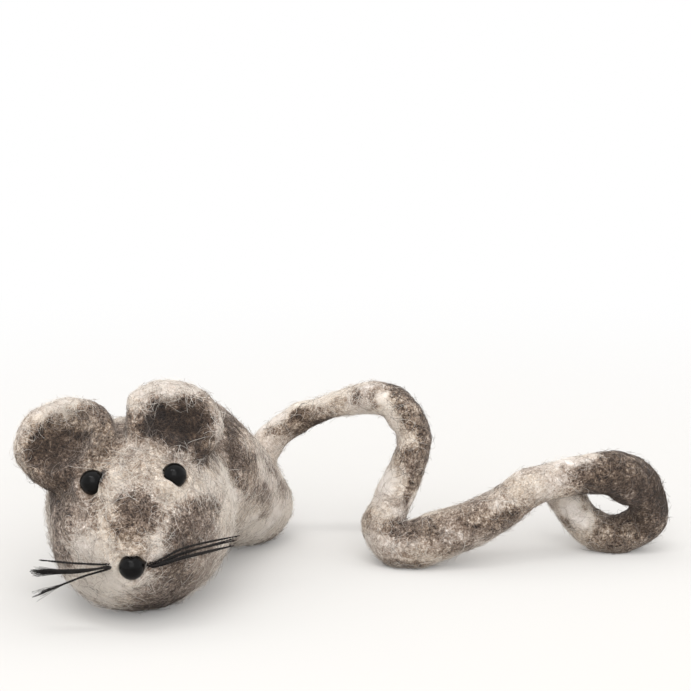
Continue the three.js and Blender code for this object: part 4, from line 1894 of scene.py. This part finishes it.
TAIL_POINTS = (
    TailPoint(0.065, 0.02, 0.74, 0.58),
    TailPoint(0.19, 0.16, 0.93, 0.66),
    TailPoint(0.28, 0.31, 0.99, 0.75),
    TailPoint(0.335, 0.41, 0.985, 0.8),
    TailPoint(0.369, 0.47, 0.89, 0.82),
    TailPoint(0.383, 0.51, 0.77, 0.84),
    TailPoint(0.367, 0.53, 0.61, 0.85),
    TailPoint(0.344, 0.54, 0.48, 0.87),
    TailPoint(0.319, 0.557, 0.36, 0.92),
    TailPoint(0.304, 0.595, 0.265, 0.98),
    TailPoint(0.309, 0.645, 0.19, 1.05),
    TailPoint(0.336, 0.7, None, 1.11),
    TailPoint(0.388, 0.757, 0.145, 1.14),
    TailPoint(0.456, 0.8, 0.21, 1.14),
    TailPoint(0.53, 0.835, 0.28, 1.07),
    TailPoint(0.595, 0.84, 0.36, 0.94),
    TailPoint(0.665, 0.84, 0.46, 0.82),
    TailPoint(0.76, 0.82, 0.525, 0.79),
    TailPoint(0.885, 0.76, 0.545, 1.02),
    TailPoint(0.965, 0.7, 0.465, 1.02),
    TailPoint(1.0, 0.63, 0.32, 0.97),
    TailPoint(0.985, 0.55, 0.18, 0.98),
    TailPoint(0.91, 0.5, None, 0.9),
    TailPoint(0.83, 0.46, 0.19, 0.9),
    TailPoint(0.795, 0.42, 0.315, 0.88),
    TailPoint(0.765, 0.4, 0.44, 0.84),
)


@dataclass
class Tail:
    """The felt tail's route and thickness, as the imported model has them."""

    diameter: float = 12 * MM
    root_diameter: float = 10.4 * MM
    reach: float = 109 * MM
    depth: float = 30 * MM
    rise: float = 46 * MM
    rest_depth: float = 0.5 * MM
    steps: int = 240
    sides: int = 20
    smoothed_steps: int = 6
    heading_place: float = 0.04
    bend_start: float = 7 * MM
    bend_end: float = 15 * MM

    @property
    def root(self) -> Vector:
        """The middle of the tail's root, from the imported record."""
        return Vector(JOINTS["tail_swing"]["pos_m"])

    def route(self) -> Route:
        """The tail's middle line.

        Returns:
            The route.
        """
        root = self.root
        points = [root]
        for row in TAIL_POINTS:
            resting = row.thickness * self.diameter / 2 - self.rest_depth
            height = resting if row.up is None else row.up * self.rise
            points.append(Vector((root.x + row.across * self.reach, root.y - row.ahead * self.depth, height)))
        return Route(points)

    def radius_at(self, place: float) -> float:
        """The rope's radius at a place from 0 to 1."""
        shares = [self.root_diameter / self.diameter, *(row.thickness for row in TAIL_POINTS)]
        return float(np.interp(place * (len(shares) - 1), range(len(shares)), shares)) * self.diameter / 2

    def add_form(self, bm: BMesh) -> None:
        """Adds the rope, with a round end.

        Args:
            bm: The bmesh that gets it.
        """
        route = self.route()
        places = [route.place_along(step / self.steps) for step in range(self.steps + 1)]
        radii = [self.radius_at(place) for place in places]
        spread = 2 * self.smoothed_steps + 1
        smooth = np.convolve(np.pad(radii, self.smoothed_steps, "edge"), np.ones(spread) / spread, "valid")
        rope_form(bm, [route.at(place) for place in places], list(smooth), self.sides)
        ball_form(bm, route.at(1.0), self.radius_at(1.0))

    @cached_property
    def heading(self) -> Vector:
        """The direction in which the tail leaves the body."""
        return (self.route().at(self.heading_place) - self.root).normalized()

    @cached_property
    def seam(self) -> Vector:
        """Where the tail parts from the body and begins to bend."""
        return self.root + self.heading * self.bend_start

    def bend(self, piece: Object) -> None:
        """Bakes a piece's place into its mesh."""
        end = self.root + self.heading * self.bend_end
        self.seam
        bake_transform(piece)


@dataclass
class BodyFelt:
    """The felted skin of the body and the tail, in one run of wool."""

    head: Head
    tail: Tail
    coat: Coat
    shoulder_radius: float = 20.5 * MM
    shoulder_x: float = 13 * MM
    shoulder_y: float = 25 * MM
    belly_height: float = 8 * MM
    rump_radius: float = 13 * MM
    rump_x: float = 31.8 * MM
    rump_y: float = 51.5 * MM
    rest_depth: float = 0.5 * MM
    wall: float = 5 * MM
    voxel: float = 0.5 * MM
    lumps: Lumps = field(default_factory=Lumps)
    seat_gap: float = 0.15 * MM
    root_middle: float = 3 * MM
    root_reach: Pair = (6 * MM, 11 * MM)
    least_easing: float = 0.08
    easing_rounds: int = 60
    fibre_clear: float = 3 * MM
    swells: tuple[Swell, ...] = BODY_SWELLS

    @property
    def shoulder(self) -> Vector:
        """The middle of the shoulders."""
        return Vector((self.shoulder_x, self.shoulder_y, self.shoulder_radius + self.belly_height))

    @property
    def rump(self) -> Vector:
        """The middle of the rump."""
        return Vector((self.rump_x, self.rump_y, self.rump_radius - self.rest_depth))

    def add_form(self, bm: BMesh, inward: float = 0.0, detail: int = 5) -> None:
        """Adds the pear: two balls and the hull round both.

        Args:
            bm: The bmesh that gets it.
            inward: How much smaller the pear is.
            detail: How finely the balls are divided.
        """
        ball_form(bm, self.shoulder, self.shoulder_radius - inward, detail)
        ball_form(bm, self.rump, self.rump_radius - inward, detail)
        hull = bmesh.ops.convex_hull(bm, input=bm.verts)
        unseen = hull["geom_interior"] + hull["geom_unused"]
        spare = {item for item in unseen if isinstance(item, BMVert)}
        bmesh.ops.delete(bm, geom=list(spare), context="VERTS")

    def seated(self, places: np.ndarray) -> np.ndarray:
        """Moves places that lie in the head out to its felt.

        Args:
            places: The places, one row each.

        Returns:
            The places.
        """
        centre = self.head.centre
        for index, place in enumerate(places):
            offset = Vector(place) - centre
            if offset.length < self.head.radius + self.head.snout_rise:
                reach = self.head.reach(offset) + self.seat_gap
                if offset.length < reach:
                    places[index] = centre + offset.normalized() * reach
        return places

    def build(self, felt: Material, fibres: FibreMaterials) -> None:
        """Makes the body's and the tail's skins and their fibres.

        Args:
            felt: The skin's material.
            fibres: The fibres' materials.
        """
        pear = bmesh.new()
        self.add_form(pear)
        rope = bmesh.new()
        self.tail.add_form(rope)
        joined_in(pear, rope)
        whole = voxel_skin(pear, "whole_body", self.voxel)
        eased_where(whole, self._nearness(places_of(whole.data)), self.easing_rounds)
        for swell in self.swells:
            swell.raise_on(whole, self.coat.camera)
        self.lumps.raise_on(whole)
        set_places(whole.data, self.seated(places_of(whole.data)))
        toned_and_felted(whole, self.coat, felt)
        self._split(whole, felt)
        self._fluff(whole, fibres)
        bpy.data.objects.remove(whole)

    def _nearness(self, places: np.ndarray) -> np.ndarray:
        """How near each place is to the tail's root, from 0 to 1, with a little everywhere."""
        middle = np.array(self.tail.root + self.tail.heading * self.root_middle)
        near = 1.0 - smooth_step(*self.root_reach, np.linalg.norm(places - middle, axis=1))
        return np.maximum(near, self.least_easing)

    def _split(self, whole: Object, felt: Material) -> None:
        """Parts the tail from the body where it bends.

        Args:
            whole: The skin of both.
            felt: The skin's material.
        """
        bm = bmesh.new()
        bm.from_mesh(whole.data)
        tail = self.tail
        past_seam = tail.seam + tail.heading * 2 * MM
        part = part_beyond(bm, tail.seam, tail.heading, past_seam)
        tail.bend(wool_piece(part, "tail_wool", felt, "tail"))
        hollow = bmesh.new()
        self.add_form(hollow, self.wall, 4)
        for vert in hollow.verts:
            vert.co = self.clear_of_head(vert.co, self.wall)
        joined_in(bm, hollow, inside_out=True)
        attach(wool_piece(bm, "body_wool", felt, "body_felt"), Body.MOUSE.value)

    def clear_of_head(self, place: Vector, wall: float) -> Vector:
        """A place, moved out of the head and a wall's thickness further."""
        offset = place - self.head.centre
        reach = self.head.radius + wall
        return self.head.centre + offset.normalized() * max(offset.length, reach)

    def _fluff(self, whole: Object, fibres: FibreMaterials) -> None:
        """Lays the loose fibres, each on the piece that it grows from.

        Args:
            whole: The skin of both.
            fibres: The fibres' materials.
        """
        counts = {FibreTone.DARK: 4800, FibreTone.GREY: 5800, FibreTone.CREAM: 6400}
        fuzz = Fuzz(seed=23, counts=counts)
        for tone, paths in fuzz.lay(whole, "body and tail").items():
            on_tail, on_body = [], []
            for path in paths:
                home = on_tail if self._past_root(path) else on_body
                home.append(path)
            for piece in fuzz.spin_all(f"tail_{tone.word}_fibres", on_tail, fibres[tone]):
                self.tail.bend(piece)
            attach(fuzz.spin(f"body_{tone.word}_fibres", on_body, fibres[tone]), Body.MOUSE.value)

    def _past_root(self, path: Path) -> bool:
        """Whether a fibre has a point on the tail, beyond where it leaves the body.

        Args:
            path: The fibre's points.

        Returns:
            Whether it has.
        """
        axis = self.shoulder - self.rump
        for point in path:
            share = min(max((point - self.rump).dot(axis) / axis.length_squared, 0.0), 1.0)
            radius = self.rump_radius + (self.shoulder_radius - self.rump_radius) * share
            off_body = (point - self.rump - axis * share).length - radius
            if (point - self.tail.seam).dot(self.tail.heading) > 0 and off_body > self.fibre_clear:
                return True
        return False


@dataclass
class SewnBead:
    """A round black bead and the thread that holds it."""

    name: str
    place: Matrix
    stitch_depth: float
    diameter: float = 6.4 * MM
    hole: float = 1.7 * MM
    hole_round: float = 0.35 * MM
    thread_diameter: float = 0.6 * MM
    stitch_half_width: float = 4.1 * MM
    stitch_squareness: float = 6.0
    knot_diameter: float = 1.8 * MM
    arc_steps: int = 24
    edge_steps: int = 5
    spin_steps: int = 56
    stitch_steps: int = 180
    stitch_twists: int = 34
    knot_steps: int = 60
    ply_width: float = 1.1

    def build(self, gloss: Material, thread: Material) -> None:
        """Makes the bead and its thread."""
        self._bead(gloss)
        self._thread(thread)

    def _bead(self, gloss: Material) -> None:
        """Spins the bead's section about its hole.

        Args:
            gloss: The bead's material.
        """
        bm = bmesh.new()
        ball, bore, edge = self.diameter / 2, self.hole / 2, self.hole_round
        lip = bore + edge
        height = math.sqrt((ball - edge) ** 2 - lip**2)
        outer_end = math.atan2(height, lip)
        arc = [outer_end * (2 * index / self.arc_steps - 1) for index in range(self.arc_steps + 1)]
        points = [Vector((ball * math.sin(angle), ball * math.cos(angle), 0.0)) for angle in arc]
        rim = []
        for index in range(1, self.edge_steps + 1):
            angle = outer_end + (math.pi - outer_end) * index / self.edge_steps
            rim.append(Vector((height + edge * math.sin(angle), lip + edge * math.cos(angle), 0.0)))
        points += rim + [Vector((-point.x, point.y, 0.0)) for point in reversed(rim)]
        verts = [bm.verts.new(point) for point in points]
        edges = [bm.edges.new((one, two)) for one, two in zip(verts, verts[1:] + verts[:1])]
        bmesh.ops.spin(
            bm,
            geom=verts + edges,
            cent=ORIGIN,
            axis=(1.0, 0.0, 0.0),
            dvec=ORIGIN,
            angle=2 * math.pi,
            steps=self.spin_steps,
            use_merge=True,
        )
        bmesh.ops.recalc_face_normals(bm, faces=bm.faces)
        bmesh.ops.transform(bm, matrix=self.place, verts=bm.verts)
        piece = object_from(bm, self.name + "_gloss_bead")
        piece.data.materials.append(gloss)
        fix_to_mouse(piece, self.name + "_bead")

    def _thread(self, thread: Material) -> None:
        """Draws the two-ply stitch through the bead and its knot in the felt.

        Args:
            thread: The thread's material.
        """
        lay = self.thread_diameter / 4
        strands = []
        for first_turn in (0.0, 0.5):
            path = []
            for step in range(self.stitch_steps):
                share = step / self.stitch_steps
                spot, outward = self._stitch(share)
                turn = 2 * math.pi * (self.stitch_twists * share + first_turn)
                offset = outward * math.cos(turn) + Vector((0.0, 1.0, 0.0)) * math.sin(turn)
                path.append(self.place @ (spot + offset * lay))
            strands.append(Strand(path))
        knot = []
        scale = (self.knot_diameter / 2 - lay) / 3
        for step in range(self.knot_steps):
            turn = 2 * math.pi * step / self.knot_steps
            across = math.sin(turn) + 2 * math.sin(2 * turn)
            along = math.cos(turn) - 2 * math.cos(2 * turn)
            bob = Vector((across, along, -math.sin(3 * turn))) * scale
            knot.append(self.place @ (bob - Vector((0.0, 0.0, self.stitch_depth))))
        strands.append(Strand(knot))
        curve = line_curve(self.name + "_line", strands, lay * self.ply_width, closed=True)
        piece = mesh_of_curve(self.name + "_two_ply_thread", curve, thread)
        fix_to_mouse(piece, self.name + "_thread")

    def _stitch(self, share: float) -> tuple[Vector, Vector]:
        """A point of the stitch's rounded square loop, and the direction out of the loop.

        Args:
            share: The place round the loop, from 0 to 1.

        Returns:
            The point and the direction.
        """
        angle = 2 * math.pi * share
        level, upright = math.cos(angle), math.sin(angle)
        power = self.stitch_squareness
        size = (abs(level) ** power + abs(upright) ** power) ** (-1 / power)
        half = self.stitch_depth / 2
        spot = Vector((self.stitch_half_width * level * size, 0.0, half * (upright * size - 1.0)))
        return spot, Vector((level, 0.0, upright))


@dataclass(frozen=True)
class Lay:
    """One whisker's place in the bundle, and where its free ends go.

    The ends are shares of the whiskers' reach, and fray is how far the right one opens out.
    """

    turn: float
    apart: float
    fray: float
    right_middle: Triple
    right_tip: Triple
    left_middle: Triple
    left_tip: Triple


WHISKER_LAYS = (
    Lay(0, 0, 1.2, (-0.5, -0.05, -0.03), (-1.01, -0.08, -0.085), (0.5, 0.085, -0.12), (1.03, 0.09, -0.37)),
    Lay(0, 1, 1.1, (-0.5, -0.03, -0.015), (-1.0, -0.055, -0.07), (0.5, 0.07, -0.06), (1.0, 0.055, -0.32)),
    Lay(90, 1, 0.35, (-0.5, 0.025, -0.04), (-0.92, 0.03, -0.12), (0.49, 0.125, -0.13), (1.06, 0.135, -0.38)),
    Lay(180, 1, 1.2, (-0.5, -0.073, -0.05), (-1.0, -0.105, -0.1), (0.5, 0.05, -0.17), (1.0, 0.08, -0.42)),
    Lay(270, 1, 1.5, (-0.5, -0.12, -0.03), (-0.99, -0.33, -0.02), (0.49, 0.025, -0.11), (0.96, 0.02, -0.36)),
)


@dataclass
class Whiskers:
    """Five waxed two-ply threads through the snout, frayed at their tips."""

    place: Matrix
    diameter: float = 0.46 * MM
    spacing: float = 0.56 * MM
    reach: float = 25 * MM
    depth: float = 5.68 * MM
    exit: float = 4.9 * MM
    exit_depth: float = 0.9 * MM
    entry_share: float = 0.55
    entry_depth_share: float = 0.68
    twist_pitch: float = 1.5 * MM
    ply_share: float = 0.42
    ply_apart: float = 0.25
    steps: int = 330
    thinned_part: float = 0.6
    tip_thickness: float = 0.3
    fray_seed: int = 5
    fray_share: float = 0.17
    fray_spread: float = 1.2 * MM
    fray_strands: int = 26
    fray_thickness: float = 0.22
    fray_least: float = 0.1
    fray_starts: int = 3
    fray_step: int = 4
    fray_wander: float = 0.25
    fray_power: float = 1.3
    left_fray: float = 0.3

    def stations(self) -> list[Vector]:
        """The bundle's points inside the snout.

        Returns:
            The five points.
        """
        inner, deep = self.exit * self.entry_share, self.depth * self.entry_depth_share
        return [
            Vector((-self.exit, 0.0, -self.exit_depth)),
            Vector((-inner, 0.0, -deep)),
            Vector((0.0, 0.0, -self.depth)),
            Vector((inner, 0.0, -deep)),
            Vector((self.exit, 0.0, -self.exit_depth)),
        ]

    def route(self, lay: Lay) -> Route:
        """One thread's middle line, in the snout's frame.

        Args:
            lay: The thread's lay.

        Returns:
            The route.
        """
        turn = math.radians(lay.turn)
        aside = lay.apart * self.spacing * math.cos(turn)
        above = lay.apart * self.spacing * math.sin(turn)
        stations = self.stations()
        middle = Route(stations)
        inside = []
        for index, station in enumerate(stations):
            tangent = middle.tangent(index / (len(stations) - 1))
            normal = Vector((-tangent.z, 0.0, tangent.x))
            inside.append(station + normal * aside + Vector((0.0, above, 0.0)))
        right = [Vector(lay.right_tip) * self.reach, Vector(lay.right_middle) * self.reach]
        left = [Vector(lay.left_middle) * self.reach, Vector(lay.left_tip) * self.reach]
        return Route(right + inside + left)

    def build(self, waxed: Material) -> None:
        """Makes the threads.

        Args:
            waxed: Their material.
        """
        rng = random.Random(self.fray_seed)
        for number, lay in enumerate(WHISKER_LAYS, start=1):
            route = self.route(lay)
            frames = carried_frames([route.along(step / self.steps) for step in range(self.steps + 1)])
            strands = self._plies(route, frames) + self._fray(rng, frames, lay.fray)
            strands += self._fray(rng, frames[::-1], self.left_fray)
            curve = line_curve("whisker_line", strands, self.diameter * self.ply_share)
            curve.transform(self.place)
            piece = mesh_of_curve(f"whisker_{number}", curve, waxed)
            fix_to_mouse(piece, f"whisker_thread_{number}")

    def _plies(self, route: Route, frames: Sequence[Matrix]) -> list[Strand]:
        """The two plies, twisted along the thread and thin where the ends have come apart.

        Args:
            route: The thread's middle line.
            frames: Frames along it.

        Returns:
            The plies.
        """
        last = len(frames) - 1
        plies = []
        for first_turn in (0.0, 0.5):
            path, thickness = [], []
            for index, turned in enumerate(frames):
                along = route.length * index / last
                turn = 2 * math.pi * (along / self.twist_pitch + first_turn)
                path.append(turned @ (across_line(turn) * self.diameter * self.ply_apart))
                thinned = self.fray_share * self.thinned_part
                whole = float(smooth_step(0.0, thinned, min(index, last - index) / last))
                thickness.append(self.tip_thickness + (1.0 - self.tip_thickness) * whole)
            plies.append(Strand(path, thickness))
        return plies

    def _fray(self, rng: random.Random, frames: Sequence[Matrix], share: float) -> list[Strand]:
        """Fine strands that open out at the thread's first end.

        Args:
            rng: The random draws.
            frames: Frames along the thread.
            share: How far the strands open out.

        Returns:
            The strands.
        """
        count = int(len(frames) * self.fray_share * min(share, 1.0))
        strands = []
        for _ in range(self.fray_strands):
            turn = rng.uniform(0.0, 2 * math.pi)
            spread = rng.uniform(self.fray_least, 1.0) * self.fray_spread * share
            first = rng.randrange(count // self.fray_starts)
            path = []
            for index in range(count, first, -self.fray_step):
                open_share = 1.0 - index / count
                turn += rng.uniform(-self.fray_wander, self.fray_wander)
                path.append(frames[index] @ (across_line(turn) * spread * open_share**self.fray_power))
            strands.append(Strand(path, [self.fray_thickness] * len(path)))
        return strands


@dataclass
class Stuffing:
    """What the felt holds: a ball of loose wool in the head, and dried catnip in the body."""

    head: Head
    body: BodyFelt
    gap: float = 0.3 * MM
    wool_lumps: Lumps = Lumps(sizes=(6 * MM, 2 * MM), heights=(0.5 * MM, 0.25 * MM))
    herb_lumps: Lumps = Lumps(sizes=(2.4 * MM, 0.9 * MM), heights=(0.4 * MM, 0.2 * MM))

    def build(self, loose: Material, herb: Material) -> None:
        """Makes both fillings.

        Args:
            loose: The loose wool's material.
            herb: The herb's material.
        """
        core = bmesh.new()
        ball_form(core, self.head.centre, self.head.radius - self.head.wall - 3 * self.gap, 5)
        piece = self._crumbled(core, "core_wool", loose, self.wool_lumps)
        fix_to_mouse(piece, "head_core")
        pear = bmesh.new()
        self.body.add_form(pear, self.body.wall + 3 * self.gap)
        for vert in pear.verts:
            vert.co = self.body.clear_of_head(vert.co, self.body.wall + 2 * self.gap)
        bmesh.ops.subdivide_edges(pear, edges=pear.edges, cuts=1, use_grid_fill=True)
        piece = self._crumbled(pear, "catnip_herb", herb, self.herb_lumps)
        fix_to_mouse(piece, "catnip_filling")

    @staticmethod
    def _crumbled(bm: BMesh, name: str, material: Material, lumps: Lumps) -> Object:
        """A filling with its crumbled surface, from a bmesh that it frees.

        Args:
            bm: The filling.
            name: The piece's name.
            material: Its material.
            lumps: Its crumbs.

        Returns:
            The piece.
        """
        piece = object_from(bm, name)
        lumps.raise_on(piece)
        piece.data.materials.append(material)
        return piece


def main() -> None:
    """Builds the mouse and its studio in order."""
    logging.basicConfig(level=logging.INFO, format="%(relativeCreated)6d ms %(name)s: %(message)s")
    camera = PhotoCamera()
    camera.build()
    Studio().build()
    felt = FeltFinish().material()
    fibres = {tone: FibreFinish(f"{tone.word}_fibre", tone.tint).material() for tone in FibreTone}
    gloss, thread, waxed = GLOSS_BLACK.material(), BLACK_THREAD.material(), WAXED_BLACK_THREAD.material()
    loose, herb = LOOSE_CREAM_WOOL.material(), DRIED_HERB.material()
    head = Head()
    HeadFelt(head, (RIGHT_EAR, LEFT_EAR), Coat(camera, HEAD_MOTTLES)).build(felt, fibres)
    body = BodyFelt(head, Tail(), Coat(camera, BODY_MOTTLES, ground=0.62, depth=7 * MM))
    body.build(felt, fibres)
    Stuffing(head, body).build(loose, herb)
    stand_off = 0.2 * MM
    eye_depth, nose_depth = 5.62 * MM, 9.8 * MM
    SewnBead("eye_right", head.seat(*RIGHT_EYE, 20, stand_off), eye_depth).build(gloss, thread)
    SewnBead("eye_left", head.seat(*LEFT_EYE, -20, stand_off), eye_depth).build(gloss, thread)
    SewnBead("nose", head.seat(*NOSE, 90, stand_off), nose_depth).build(gloss, thread)
    Whiskers(head.seat(*NOSE, 0, stand_off)).build(waxed)


if __name__ == "__main__":
    main()
